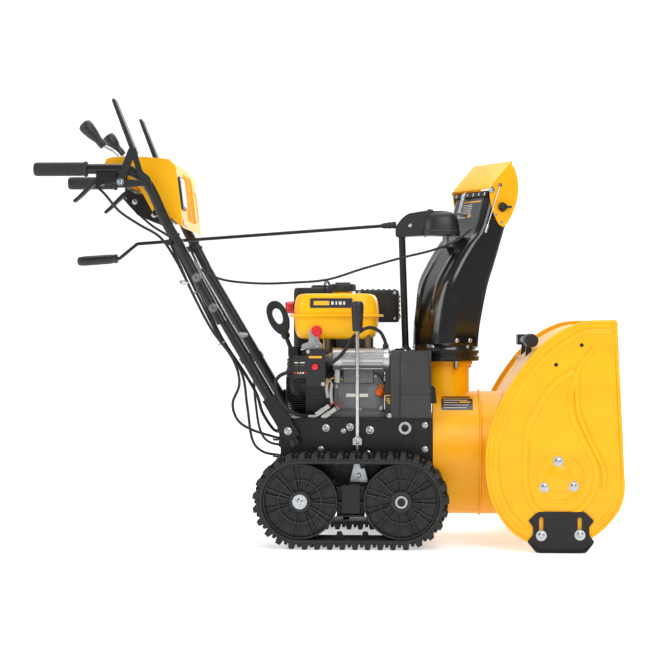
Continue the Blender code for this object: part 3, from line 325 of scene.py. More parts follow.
def even(line: Points, count: int, closed: bool = False) -> Points:
    """Sample a polyline at equal steps of its length.

    Args:
        line: the polyline's points; a closed one repeats its first point at the end.
        count: how many points to return.
        closed: whether to leave out the end, which is the start again.

    Returns:
        An array of count points.
    """
    steps = np.linalg.norm(np.diff(line, axis=0), axis=1)
    length = np.concatenate([[0.0], np.cumsum(steps)])
    goal = np.linspace(0.0, length[-1], count + 1)[:-1] if closed else np.linspace(0.0, length[-1], count)
    return np.stack([np.interp(goal, length, line[:, axis]) for axis in range(line.shape[1])], axis=1)


def rounded(outline: Rows, radius: float, steps: int = 5) -> Points:
    """A closed outline with each corner turned into a short curve.

    A corner becomes the quadratic curve from radius before it to radius after it, or to 0.45 of
    the side where that is shorter, with the corner as its middle control point.

    Args:
        outline: the corners, in a plane.
        radius: how far from the corner the curve starts.
        steps: spans on each corner.

    Returns:
        The rounded outline's points.
    """
    corner = np.asarray(outline, float)
    before = np.roll(corner, 1, axis=0) - corner
    after = np.roll(corner, -1, axis=0) - corner
    reach_before = np.minimum(radius, 0.45 * np.linalg.norm(before, axis=1, keepdims=True))
    reach_after = np.minimum(radius, 0.45 * np.linalg.norm(after, axis=1, keepdims=True))
    start = corner + unit(before) * reach_before
    end = corner + unit(after) * reach_after
    share = np.linspace(0.0, 1.0, steps + 1)[None, :, None]
    bend = (1 - share) ** 2 * start[:, None] + 2 * share * (1 - share) * corner[:,
        None] + share ** 2 * end[:, None]
    return bend.reshape(-1, corner.shape[1])


def slim(width: float, height: float) -> Points:
    """The four corners of a rectangle round the origin."""
    return np.array([(-width / 2, -height / 2), (width / 2, -height / 2), (width / 2, height / 2),
        (-width / 2, height / 2)])


def basis(direction: Place) -> tuple[Points, Points, Points]:
    """Two unit vectors across a direction, and the direction as a unit vector.

    Args:
        direction: any vector.

    Returns:
        The vector across, the vector upwards and the vector along.
    """
    along = np.asarray(direction, float)
    along = unit(along)
    helper = np.array([0.0, 0.0, 1.0]) if abs(along[2]) < 0.9 else np.array([1.0, 0.0, 0.0])
    across = np.cross(helper, along)
    across = unit(across)
    return across, np.cross(along, across), along


def in_plane(flat: Points, plane: str, level: Any) -> Points:
    """Flat points set into a plane of the machine.

    Args:
        flat: an array whose last axis holds the two coordinates in the plane.
        plane: the two axes' letters, XZ, YZ or XY.
        level: the third coordinate, one for all or an array that fits the points.

    Returns:
        The same array with three coordinates.
    """
    third = np.broadcast_to(level, flat.shape[:-1])
    order = {"XZ": (flat[..., 0], third, flat[..., 1]), "YZ": (third, flat[..., 0], flat[..., 1]),
        "XY": (flat[..., 0], flat[..., 1], third)}[plane]
    return np.stack(order, axis=-1)


def rings(radius: Points, middle: Place, level: Points, plane: str) -> Points:
    """Rings whose radius may vary: middle + radius * (cos, sin), one ring at each level.

    Args:
        radius: the radius at each level and each angle.
        middle: the two coordinates of the axis in the plane.
        level: where each ring is along the axis.
        plane: the two axes' letters, XZ, YZ or XY.

    Returns:
        A (levels, angles, 3) array.
    """
    angle = circle(radius.shape[1])
    flat = np.stack([middle[0] + radius * np.cos(angle), middle[1] + radius * np.sin(angle)], axis=-1)
    return in_plane(flat, plane, level[:, None])


def soft_box(middle: Place, half: tuple[Points, Points], level: Points, power: float,
        count: int = 96) -> Points:
    """Level sections of a soft cornered box: each a superellipse of the given half sizes.

    Args:
        middle: X and Y of the middle.
        half: half length and half width at each level.
        level: the levels.
        power: 2 over the superellipse's exponent.
        count: how many points go round.

    Returns:
        A (levels, points, 3) array.
    """
    oval = ellipse(2.0, 2.0, count)
    soft = np.sign(oval) * np.abs(oval) ** power
    flat = np.stack([middle[axis] + half[axis][:, None] * soft[None, :, axis] for axis in (0, 1)], axis=-1)
    return in_plane(flat, "XY", level[:, None])


def swivel(points: Points, centre: Place, angle: float) -> Points:
    """Points turned about an upright line.

    Args:
        points: an array whose last axis holds X, Y and Z.
        centre: X and Y of the line.
        angle: how far to turn, in radians, to the left.

    Returns:
        The turned points.
    """
    x = points[..., 0] - centre[0]
    y = points[..., 1] - centre[1]
    return np.stack([centre[0] + x * math.cos(angle) - y * math.sin(angle), centre[1] + x * math.sin(angle)
        + y * math.cos(angle), points[..., 2]], axis=-1)


# ---------------------------------------------------------------- meshes


class Shape:
    """A piece's mesh while it is put together from surfaces, each with its own finish."""

    def __init__(self) -> None:
        """Start with no surfaces."""
        self.points: list[Points] = []
        self.faces: list[Points] = []
        self.wears: list[Finish] = []
        self.count = 0

    def add(self, points: Points, faces: Sequence[Points], finish: Finish) -> "Shape":
        """Take in points and the faces on them.

        Args:
            points: an (n, 3) array.
            faces: arrays of point numbers, one row a face.
            finish: what the faces wear.

        Returns:
            The shape itself.
        """
        self.points.append(np.asarray(points, float).reshape(-1, 3))
        for block in faces:
            self.faces.append(np.asarray(block, int) + self.count)
            self.wears.append(finish)
        self.count += len(self.points[-1])
        return self

    def grid(self, points: Points, finish: Finish, wrap_u: bool = False, wrap_v: bool = False) -> "Shape":
        """Quads over a (u, v, 3) array of points.

        Args:
            points: the surface's points.
            finish: what it wears.
            wrap_u: whether the last row joins the first.
            wrap_v: whether the last column joins the first.

        Returns:
            The shape itself.
        """
        index = np.arange(points.shape[0] * points.shape[1]).reshape(points.shape[:2])
        if wrap_u:
            index = np.vstack([index, index[:1]])
        if wrap_v:
            index = np.hstack([index, index[:, :1]])
        quads = np.stack([index[:-1, :-1], index[1:, :-1], index[1:, 1:], index[:-1, 1:]], axis=-1)
        return self.add(points, [quads.reshape(-1, 4)], finish)

    def loft(self, sections: Points, finish: Finish, caps: bool = True) -> "Shape":
        """A skin over closed sections, with a face on each end.

        Args:
            sections: a (sections, points, 3) array.
            finish: what it wears.
            caps: whether the ends are closed.

        Returns:
            The shape itself.
        """
        start = self.count
        self.grid(sections, finish, wrap_v=True)
        if caps:
            around = sections.shape[1]
            ends = [np.arange(around)[None, :], np.arange(around)[None, :]
                + (sections.shape[0] - 1) * around]
            for end in ends:
                self.faces.append(end + start)
                self.wears.append(finish)
        return self

    def turned(self, profile: Rows, centre: Place, axis: Place, finish: Finish, steps: int = 40,
            ring: bool = False) -> "Shape":
        """A profile turned about a line: point = centre + along * axis + radius * (cos, sin) across.

        Args:
            profile: distance along the axis and radius, point by point.
            centre: a point on the line.
            axis: the line's direction.
            finish: what it wears.
            steps: spans round the circle.
            ring: whether the profile closes on itself.

        Returns:
            The shape itself.
        """
        across, up, along = basis(axis)
        line = np.asarray(profile, float)
        angle = circle(steps)
        spoke = np.cos(angle)[:, None] * across + np.sin(angle)[:, None] * up
        points = np.asarray(centre, float) + line[:, None, :1] * along + line[:, None, 1:] * spoke[None]
        return self.grid(points, finish, wrap_u=ring, wrap_v=True)

    def tube(self, path: Rows, radius: Any, finish: Finish, sides: int = 14, flat: float = 1.0) -> "Shape":
        """A round or oval section carried along a path, closed at both ends.

        The section's two directions come from the vector most nearly square to the whole path.

        Args:
            path: the points of the middle line.
            radius: the section's radius, or one for each point.
            finish: what it wears.
            sides: spans round the section.
            flat: the section's size along that vector, as a share of its width.

        Returns:
            The shape itself.
        """
        line = np.asarray(path, float)
        wide = np.broadcast_to(np.asarray(radius, float), (len(line),))
        heading = np.gradient(line, axis=0)
        heading = heading / np.maximum(np.linalg.norm(heading, axis=1, keepdims=True), 1e-9)
        values, vectors = np.linalg.eigh(heading.T @ heading)
        side = vectors[:, int(np.argmin(values))]
        if values[1] < 1e-4:
            side = basis(heading[0])[0]
        across = np.cross(heading, side)
        across = unit(across)
        up = np.cross(across, heading)
        line = np.vstack([line[:1], line, line[-1:]])
        wide = np.concatenate([[0.0], wide, [0.0]])
        across = np.vstack([across[:1], across, across[-1:]])
        up = np.vstack([up[:1], up, up[-1:]]) * flat
        angle = circle(sides)
        spoke = np.cos(angle)[None, :, None] * across[:, None] + np.sin(angle)[None, :, None] * up[:, None]
        return self.grid(line[:, None] + wide[:, None, None] * spoke, finish, wrap_v=True)

    def plate(self, outline: Rows, plane: str, low: float, high: float, finish: Finish,
            holes: Sequence[Points] = ()) -> "Shape":
        """A flat outline, with holes, given a thickness.

        Args:
            outline: the outer line's points in the plane.
            plane: XZ, YZ or XY.
            low: where the plate starts on the third axis.
            high: where it ends.
            finish: what it wears.
            holes: closed lines inside the outline.

        Returns:
            The shape itself.
        """
        loops = [np.asarray(outline, float), *[np.asarray(hole, float) for hole in holes]]
        flat = np.vstack(loops)
        triangles = geometry.tessellate_polygon([[Vector((*point, 0.0)) for point in loop]
            for loop in loops])
        caps = np.array(triangles, int)
        points = np.vstack([in_plane(flat, plane, low), in_plane(flat, plane, high)])
        faces = [caps, caps[:, ::-1] + len(flat)] if len(loops) > 1 else [np.arange(len(flat))[None, :],
            np.arange(len(flat))[None, ::-1] + len(flat)]
        start = 0
        for loop in loops:
            here = np.arange(len(loop)) + start
            after = np.roll(here, -1)
            faces.append(np.stack([here, after, after + len(flat), here + len(flat)], axis=1))
            start += len(loop)
        return self.add(points, faces, finish)

    def flank(self, outline: Rows, side: float, near: float, far: float, finish: Finish,
            holes: Sequence[Points] = ()) -> "Shape":
        """A plate upright along the machine, from one distance to another from its middle plane.

        Args:
            outline: X and Z of the outer line.
            side: -1 on the right, 1 on the left.
            near: the distance of one face.
            far: the distance of the other.
            finish: what it wears.
            holes: closed lines inside the outline.

        Returns:
            The shape itself.
        """
        return self.plate(outline, "XZ", *sorted((side * near, side * far)), finish, holes)

    def block(self, low: Place, high: Place, finish: Finish, round_by: float = 0.0) -> "Shape":
        """A box, with its corners rounded as seen from above where round_by is given.

        Args:
            low: its lowest corner.
            high: its highest corner.
            finish: what it wears.
            round_by: how far from each corner the rounding starts.

        Returns:
            The shape itself.
        """
        corners = np.array([(low[0], low[1]), (high[0], low[1]), (high[0], high[1]), (low[0], high[1])])
        outline = rounded(corners, round_by) if round_by else corners
        return self.plate(outline, "XY", low[2], high[2], finish)

    def bolt(self, place: Place, axis: Place, size: float, finish: Finish = ZINC) -> "Shape":
        """A flanged hexagon head on its washer, seen from the end of its axis.

        Args:
            place: where the washer lies on the surface.
            axis: the direction out of the surface.
            size: the flange's radius.
            finish: what it wears.

        Returns:
            The shape itself.
        """
        thick = 0.16 * size
        self.turned([(-thick, 1.25 * size), (thick, 1.25 * size), (thick, 0.0)], place, axis, finish,
            steps=24)
        self.turned([(0.0, size), (1.6 * thick, size), (2.4 * thick, 0.72 * size), (2.4 * thick, 0.0)],
            place, axis, finish, steps=24)
        head = 0.66 * size
        tall = 0.78 * size
        return self.turned([(0.0, head), (0.88 * tall, head), (tall, 0.86 * head), (tall, 0.0)], place,
            axis, finish, steps=6)

    def screw(self, place: Place, axis: Place, size: float, finish: Finish = ZINC) -> "Shape":
        """A pan head screw with a round socket in it.

        Args:
            place: the middle of the head's underside.
            axis: the direction out of the surface.
            size: the head's radius.
            finish: what it wears.

        Returns:
            The shape itself.
        """
        self.turned([(0.0, size), (0.22 * size, size), (0.42 * size, 0.82 * size),
            (0.52 * size, 0.45 * size), (0.2 * size, 0.4 * size), (0.2 * size, 0.0)], place, axis, finish,
            steps=20)
        return self

    def cad(self, node: str, finish: Finish) -> "Shape":
        """A copy of a CAD node's triangles.

        Args:
            node: the CAD node's name.
            finish: what the copy wears.

        Returns:
            The shape itself.
        """
        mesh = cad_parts[node].data
        points = np.zeros(len(mesh.vertices) * 3)
        mesh.vertices.foreach_get("co", points)
        mesh.calc_loop_triangles()
        corners = np.zeros(len(mesh.loop_triangles) * 3, int)
        mesh.loop_triangles.foreach_get("vertices", corners)
        return self.add(points.reshape(-1, 3), [corners.reshape(-1, 3)], finish)

    def moved(self, turn: Any) -> "Shape":
        """Pass every point so far through a function of an (n, 3) array."""
        self.points = [turn(points) for points in self.points]
        return self

    def build(self, name: str, body: str, slot: str, stands_for: Sequence[str] = (), bevel: float = 0.0,
            wall: float = 0.0, smooth: float = SHARP_DEGREES, weld: float = 2e-6) -> bpy.types.Object:
        """Make the object, weld it, turn its faces outwards and hang it on its body.

        Args:
            name: the piece's name.
            body: the CAD body it rides on.
            slot: not used.
            stands_for: the CAD nodes it replaces.
            bevel: the width of the rounding on sharp edges, or none.
            wall: the thickness given to an open sheet, or none.
            smooth: the angle in degrees above which an edge stays sharp.
            weld: how close two points are before they become one.

        Returns:
            The finished object.
        """
        finishes = list(dict.fromkeys(self.wears))
        mesh = bpy.data.meshes.new(name)
        points = np.vstack(self.points)
        mesh.vertices.add(len(points))
        mesh.vertices.foreach_set("co", points.astype(np.float32).ravel())
        sizes = np.concatenate([np.full(len(block), block.shape[1]) for block in self.faces])
        corners = np.concatenate([block.ravel() for block in self.faces])
        mesh.loops.add(len(corners))
        mesh.loops.foreach_set("vertex_index", corners.astype(np.int32))
        mesh.polygons.add(len(sizes))
        mesh.polygons.foreach_set("loop_start",
            np.concatenate([[0], np.cumsum(sizes)[:-1]]).astype(np.int32))
        mesh.polygons.foreach_set("loop_total", sizes.astype(np.int32))
        worn = [np.full(len(block), finishes.index(wear)) for block, wear in zip(self.faces, self.wears)]
        mesh.polygons.foreach_set("material_index", np.concatenate(worn).astype(np.int32))
        for finish in finishes:
            mesh.materials.append(finish.material())
        mesh.update(calc_edges=True)
        shape = bmesh.new()
        shape.from_mesh(mesh)
        bmesh.ops.remove_doubles(shape, verts=shape.verts, dist=weld)
        bmesh.ops.dissolve_degenerate(shape, edges=shape.edges, dist=weld)
        if bevel:
            bmesh.ops.dissolve_limit(shape, angle_limit=math.radians(FLAT_DEGREES), verts=shape.verts,
                edges=shape.edges, delimit={"MATERIAL"})
        bmesh.ops.recalc_face_normals(shape, faces=shape.faces)
        shape.to_mesh(mesh)
        shape.free()
        mesh.validate()
        mesh.shade_smooth()
        mesh.set_sharp_from_angle(angle=math.radians(smooth))
        thing = bpy.data.objects.new(name, mesh)
        bpy.context.scene.collection.objects.link(thing)
        if wall:
            sheet = thing.modifiers.new("sheet", "SOLIDIFY")
            sheet.thickness = wall
            sheet.offset = 0.0
        if bevel:
            edge = thing.modifiers.new("edge", "BEVEL")
            edge.width = bevel
            edge.segments = 2
            edge.limit_method = "ANGLE"
            edge.angle_limit = math.radians(SHARP_DEGREES)
            edge.harden_normals = True
        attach(thing, body)
        if stands_for:
            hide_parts(*stands_for)
        LOG.info("%s: %d points on %s", name, len(mesh.vertices), body)
        return thing


def stretch(thing: bpy.types.Object, first: str, second: str, start: Place, end: Place) -> None:
    """Take a piece off its body and bake its place into its points.

    Args:
        thing: the piece.
        first: not used.
        second: not used.
        start: not used.
        end: not used.
    """
    thing.parent = None
    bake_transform(thing)


def ellipse(width: float, height: float, count: int = 24) -> Points:
    """A closed oval round the origin: half width times cosine, half height times sine."""
    angle = circle(count)
    return np.stack([width / 2 * np.cos(angle), height / 2 * np.sin(angle)], axis=1)


def dress(names: Sequence[str], finish: Finish) -> None:
    """Give CAD nodes that stay in view a finish.

    Args:
        names: the nodes' names.
        finish: what they wear.
    """
    for name in names:
        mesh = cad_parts[name].data
        mesh.materials.clear()
        mesh.materials.append(finish.material())


# ---------------------------------------------------------------- auger housing


@dataclass
class AugerHousing:
    """The pressed side plates, the sheet wrapped between them, the shoes, scraper and stick."""

    half_width: float = 0.305
    plate: float = 0.004
    inset: float = 0.009
    sheet: float = 0.003
    shaft: tuple[float, float] = (0.575, 0.18)
    drum_z: float = 0.223
    throat: float = 0.156
    back: Rows = ((0.714, 0.567), (0.637, 0.563), (0.572, 0.535), (0.519, 0.49), (0.474, 0.4325),
        (0.441, 0.379), (0.416, 0.322), (0.402, 0.269), (0.398, 0.216), (0.404, 0.155), (0.421, 0.106),
        (0.445, 0.067), (0.474, 0.04), (0.505, 0.024), (0.54, 0.018), (0.63, 0.018))
    front: Rows = ((0.661, 0.0405), (0.694, 0.069), (0.723, 0.11), (0.733, 0.151), (0.731, 0.208),
        (0.723, 0.371), (0.719, 0.453))
    teardrop: Rows = ((0.6142, 0.4423), (0.56, 0.408), (0.5235, 0.3517), (0.499, 0.3), (0.4941, 0.2488),
        (0.493, 0.1959), (0.499, 0.1459), (0.5235, 0.1018), (0.5735, 0.083), (0.624, 0.1042),
        (0.6607, 0.1556), (0.6656, 0.2071), (0.6411, 0.261), (0.6093, 0.3296), (0.6044, 0.3884))
    second_ridge: Rows = ((0.6583, 0.4987), (0.624, 0.4521), (0.6191, 0.4031), (0.624, 0.3394),
        (0.6534, 0.2684), (0.6828, 0.2071), (0.684, 0.156))

    def build(self) -> None:
        """Make every piece of the housing."""
        for word, side in SIDES.items():
            self.side_plate(word, side)
            self.shoe(word, side)
        dress(["auger_shaft"], ZINC)
        self.wrapped_sheet()
        self.scraper()
        self.clean_out_stick()

    def bead(self, shape: Shape, line: Points, side: float, width: float, height: float) -> None:
        """A pressed ridge: an oval carried along a line on the plate, half of it proud.

        Args:
            shape: the piece it joins.
            line: X and Z of the ridge's middle.
            side: -1 for the right plate, 1 for the left.
            width: the ridge's width.
            height: how far it stands out.
        """
        path = in_plane(line, "XZ", side * self.half_width)
        shape.tube(path, width / 2, YELLOW, sides=12, flat=2 * height / width)

    def side_plate(self, word: str, side: float) -> None:
        """One side plate with its rolled rim, pressed ridges, bearing plate and bolts.

        Args:
            word: right or left.
            side: -1 or 1.
        """
        shape = Shape()
        back = curve(self.back, 100)
        front = curve([self.back[-1], *self.front, self.back[0]], 44)[1:-1]
        outline = np.vstack([back, front])
        shape.flank(outline, side, self.half_width - self.plate, self.half_width, YELLOW)
        rim = np.vstack([outline, outline[:1]])
        middle = outline.mean(axis=0)
        self.bead(shape, middle + (rim - middle) * 0.988, side, 0.008, 0.0032)
        self.bead(shape, curve(mm((700, 540), (640, 538), (588, 512), (536, 470), (493, 415), (463, 364),
            (439, 310), (425, 262), (422, 214), (427, 164), (443, 119), (466, 83), (490, 60)), 70), side,
            0.015, 0.0036)
        drop = curve(self.teardrop, 110, closed=True)
        self.bead(shape, np.vstack([drop, drop[:1]]), side, 0.017, 0.0047)
        self.bead(shape, curve(self.second_ridge, 50), side, 0.013, 0.005)
        self.bead(shape, curve(mm((706, 486), (712, 371), (719, 208), (718, 150), (706, 112), (680, 80)),
            50), side, 0.01, 0.0026)
        ring = ellipse(0.114, 0.114, 60) + self.shaft
        self.bead(shape, np.vstack([ring, ring[:1]]), side, 0.009, 0.0024)
        face = side * self.half_width
        shape.turned(mm((-1, 34), (1.5, 33), (4.5, 26), (6.8, 16), (7.2, 0)),
            (self.shaft[0], face, self.shaft[1]), (0, side, 0), YELLOW, steps=64)
        for x, z in mm((573, 222.5), (539.5, 159), (610, 162)):
            shape.turned(mm((0, 12.8), (2, 12.5), (2, 0)), (x, face, z), (0, side, 0), ZINC, steps=32)
            shape.bolt((x, face + side * 0.0018, z), (0, side, 0), 0.0078)
        for x, z in mm((531.7, 42), (625, 44)):
            shape.turned(mm((0, 13.2), (2, 13), (2, 0)), (x, side * (self.half_width + 0.0054), z),
                (0, side, 0), ZINC, steps=32)
            shape.bolt((x, side * (self.half_width + 0.0072), z), (0, side, 0), 0.0085)
        # Black diamonds laid on the plate stand for its square holes: their black is painted shade inside
        # the holes.
        for x, z in mm((568, 458), (630, 506)):
            hole = mm((0, -6.2), (6.2, 0), (0, 6.2), (-6.2, 0)) + (x, z)
            shape.flank(hole, side, self.half_width, self.half_width + 0.0004, BLACK)
        for x, z in mm((450, 332), (455, 120), (546, 45)):
            shape.turned(mm((0, 5.5), (1.2, 5), (2.2, 3), (2.5, 0)), (x, face, z), (0, side, 0), YELLOW,
                steps=20)
        shape.build("pressed_side_plate_" + word, "machine", "yellow_paint", ["housing_side_" + word])

    def wrapped_sheet(self) -> None:
        """The curved back: rings of points that pass from the round throat to the sheet's four edges."""
        line = np.asarray(self.back, float)
        heading = unit(np.gradient(line, axis=0))
        inner = line + np.stack([-heading[:, 1], heading[:, 0]], axis=1) * (self.inset + self.sheet / 2)
        dense = curve(inner, 400)
        run = np.concatenate([[0.0], np.cumsum(np.linalg.norm(np.diff(dense, axis=0), axis=1))])
        wall = self.half_width - self.plate - 0.0003
        share = np.linspace(0.0, 1.0, 40, endpoint=False)
        across = np.concatenate([2 * share - 1, np.ones(40), 1 - 2 * share, -np.ones(40)]) * wall
        along = np.concatenate([np.zeros(40), share, np.ones(40), 1 - share]) * run[-1]
        middle = np.interp(-self.drum_z, -dense[:, 1], run)
        angle = np.arctan2((middle - along) / 0.3, across / wall)
        circle_y = self.throat * np.cos(angle)
        circle_run = np.interp(-(self.drum_z + self.throat * np.sin(angle)), -dense[:, 1], run)
        reach = np.linspace(0.0, 1.0, 30)[:, None]
        y = circle_y + (across - circle_y) * reach
        at = circle_run + (along - circle_run) * reach
        points = np.stack([np.interp(at, run, dense[:, 0]), y, np.interp(at, run, dense[:, 1])], axis=-1)
        shape = Shape().grid(points, YELLOW, wrap_v=True)
        shape.build("wrapped_sheet", "machine", "yellow_paint", ["housing_shell"], wall=self.sheet)
        trim = Shape()
        top_x, top_z = dense[0]
        trim.tube(np.linspace((top_x, -wall, top_z), (top_x, wall, top_z), 8), 0.0042, YELLOW)
        throat = np.linspace(0.0, math.tau, 97)
        z = self.drum_z + (self.throat - 0.001) * np.sin(throat)
        trim.tube(np.stack([np.interp(-z, -dense[:, 1], dense[:, 0]),
            (self.throat - 0.001) * np.cos(throat), z], axis=1), 0.003, YELLOW, sides=10)
        for y in (-0.215, 0.215):
            trim.bolt((0.506, y, 0.467), (-0.75, 0, 0.66), 0.007)
        trim.build("sheet_trim", "machine", "yellow_paint")

    def shoe(self, word: str, side: float) -> None:
        """A reversible skid shoe: a waisted plate with slots and a runner folded out at its foot.

        Args:
            word: right or left.
            side: -1 or 1.
        """
        shape = Shape()
        outline = rounded(mm((524, 100), (637, 100), (660, 78), (648, 64), (648, 43), (661, 27), (640, 0),
            (519, 0), (497, 27), (512, 43), (512, 64), (500, 78)), 0.0055)
        slots = [rounded(slim(0.0105, 0.052) + (x, 0.0605), 0.005, 4) for x in (0.5317, 0.625)]
        shape.flank(outline, side, self.half_width + 0.0005, self.half_width + 0.0052, BLACK, slots)
        share = np.linspace(0.0, 1.0, 25)
        x = 0.5075 + 0.1425 * share
        z = 0.0022 + 0.015 * np.maximum(0, 1 - share / 0.16) ** 2 + 0.015 * np.maximum(0,
            1 - (1 - share) / 0.16) ** 2
        near, far = side * (self.half_width + 0.001), side * (self.half_width + 0.013)
        section = np.stack([np.stack([x, np.full(25, near), z - 0.0022], axis=1),
            np.stack([x, np.full(25, far), z - 0.0022], axis=1), np.stack([x, np.full(25, far), z + 0.0022],
            axis=1), np.stack([x, np.full(25, near), z + 0.0022], axis=1)], axis=1)
        shape.loft(section, BLACK)
        shape.build("reversible_shoe_" + word, "skid_" + word, "black_paint", ["skid_shoe_" + word],
            bevel=0.001)

    def scraper(self) -> None:
        """The scraper bar, with its round headed bolts along the front."""
        shape = Shape().cad("scraper_bar", ZINC)
        for y in np.linspace(-0.26, 0.26, 6):
            shape.turned(mm((0, 8.5), (1.5, 7.5), (3.5, 4.5), (4, 0)), (0.632, y, 0.024), UP, ZINC,
                steps=24)
        shape.build("scraper_with_bolts", "machine", "zinc_steel", ["scraper_bar"], bevel=0.0012)

    def clean_out_stick(self) -> None:
        """The moulded stick for clearing the chute, in its two spring clips."""
        stick = Shape()
        ribs = [*mm((225, 0), (225, 15), (222, 17))]
        for place in np.linspace(0.214, 0.132, 7):
            ribs += [(place, 0.017), (place - 0.002, 0.015), (place - 0.005, 0.015), (place - 0.007, 0.017)]
        ribs += [*mm((120, 16), (112, 9.5), (-150, 8.5), (-150, 0))]
        stick.turned(ribs, (0.514, 0, 0.5165), RIGHT, ABS)
        stick.plate(rounded(mm((500, 145), (529, 145), (530, 225), (523, 235), (507, 235), (500, 225)),
            0.006), "XY", 0.502, 0.53, ABS)
        stick.build("moulded_stick", "clean_out", "black_plastic", ["clean_out_tool"], bevel=0.0012)
        clips = Shape()
        for y in (-0.09, 0.11):
            angle = np.radians(np.linspace(-150, 70, 24))
            arc = np.stack([0.514 + 0.0118 * np.cos(angle), 0.5165 + 0.0118 * np.sin(angle)], axis=1)
            inner = np.stack([0.514 + 0.0098 * np.cos(angle), 0.5165 + 0.0098 * np.sin(angle)], axis=1)
            clips.plate(np.vstack([arc, inner[::-1]]), "XZ", y - 0.008, y + 0.008, ABS)
            foot = rounded(mm((506, 474), (523, 488), (519, 507), (509, 507)), 0.002)
            clips.plate(foot, "XZ", y - 0.008, y + 0.008, ABS)
        clips.build("stick_clips", "machine", "black_plastic")


@dataclass
class ThrowerDrum:
    """The round casing of the impeller, with its rolled bead, plate and bolts."""

    z: float = 0.223
    radius: float = 0.16
    chute_x: float = 0.305

    def build(self) -> None:
        """Make the casing, its trim and the plate on it."""
        shape = Shape().cad("impeller_drum", YELLOW)
        shape.build("rolled_drum", "machine", "yellow_paint", ["impeller_drum"], bevel=0.0012, smooth=30.0)
        trim = Shape()
        bead = [(0.3865, self.radius - 0.002), (0.387, self.radius + 0.002), (0.389, self.radius + 0.0044),
            (0.3915, self.radius + 0.0044), (0.3935, self.radius + 0.002), (0.394, self.radius - 0.002)]
        trim.turned(bead, (0, 0, self.z), AHEAD, YELLOW, steps=96, ring=True)
        rear = [(0.2698, self.radius - 0.012), (0.2698, self.radius + 0.0009),
            (0.2745, self.radius + 0.0009), (0.276, self.radius - 0.001)]
        trim.turned(rear, (0, 0, self.z), AHEAD, YELLOW, steps=96, ring=True)
        trim.turned(mm((451.5, 66), (453.5, 69), (461, 69), (461.4, 60), (451.5, 60)), (self.chute_x, 0, 0),
            UP, YELLOW, steps=64, ring=True)
        trim.build("drum_beads", "machine", "yellow_paint")
        plate = Shape()
        low = math.radians(46.0)
        for start, end, first, last, proud, finish in ((0.292, 0.372, 0.0, 17.0, 0.0006, FILM),
                (0.298, 0.366, 18.5, 21.0, 0.0008, FILM), (0.292, 0.302, 18.8, 20.8, 0.001, RED)):
            self.wrapped_label(plate, start, end, low + math.radians(first), low + math.radians(last),
                proud, finish)
        for row, width in enumerate((0.058, 0.064, 0.036, 0.06)):
            turn = low + math.radians(2.4 + 3.6 * row)
            self.wrapped_label(plate, 0.298, 0.298 + width, turn, turn + math.radians(0.7), 0.001, PRINT)
        self.wrapped_label(plate, 0.338, 0.366, low + math.radians(9.4), low + math.radians(11.6), 0.0012,
            GOLD_PRINT)
        plate.build("drum_plate", "machine", "yellow_plastic")
        keepers = Shape()
        for turn in (-70.0, 35.0, 150.0):
            angle = math.radians(turn)
            out = np.array([math.cos(angle), math.sin(angle), 0.0])
            centre = np.array([self.chute_x, 0.0, 0.0])
            foot = centre + out * 0.074
            keepers.turned(mm((447, 7), (461.4, 7)), foot, UP, ZINC, steps=16)
            keepers.bolt(foot + (0, 0, 0.447), DOWN, 0.0065)
        keepers.build("ring_keepers", "machine", "zinc_steel")

    def wrapped_label(self, shape: Shape, start: float, end: float, low: float, high: float, proud: float,
            finish: Finish) -> None:
        """A film that follows the drum: X runs along it, and the angle above its middle goes round.

        Args:
            shape: the piece it joins.
            start: X of its rear edge.
            end: X of its front edge.
            low: angle of its lower edge.
            high: angle of its upper edge.
            proud: how far it stands off the drum.
            finish: what it wears.
        """
        turn = np.linspace(low, high, 9)[None, :]
        x = np.linspace(start, end, 2)[:, None]
        layers = [np.stack(np.broadcast_arrays(x, -(self.radius + rise) * np.cos(turn),
            self.z + (self.radius + rise) * np.sin(turn)), axis=-1) for rise in (-0.001, proud)]
        ring = np.concatenate([layers[0], layers[1][:, ::-1]], axis=1)
        shape.loft(ring, finish)


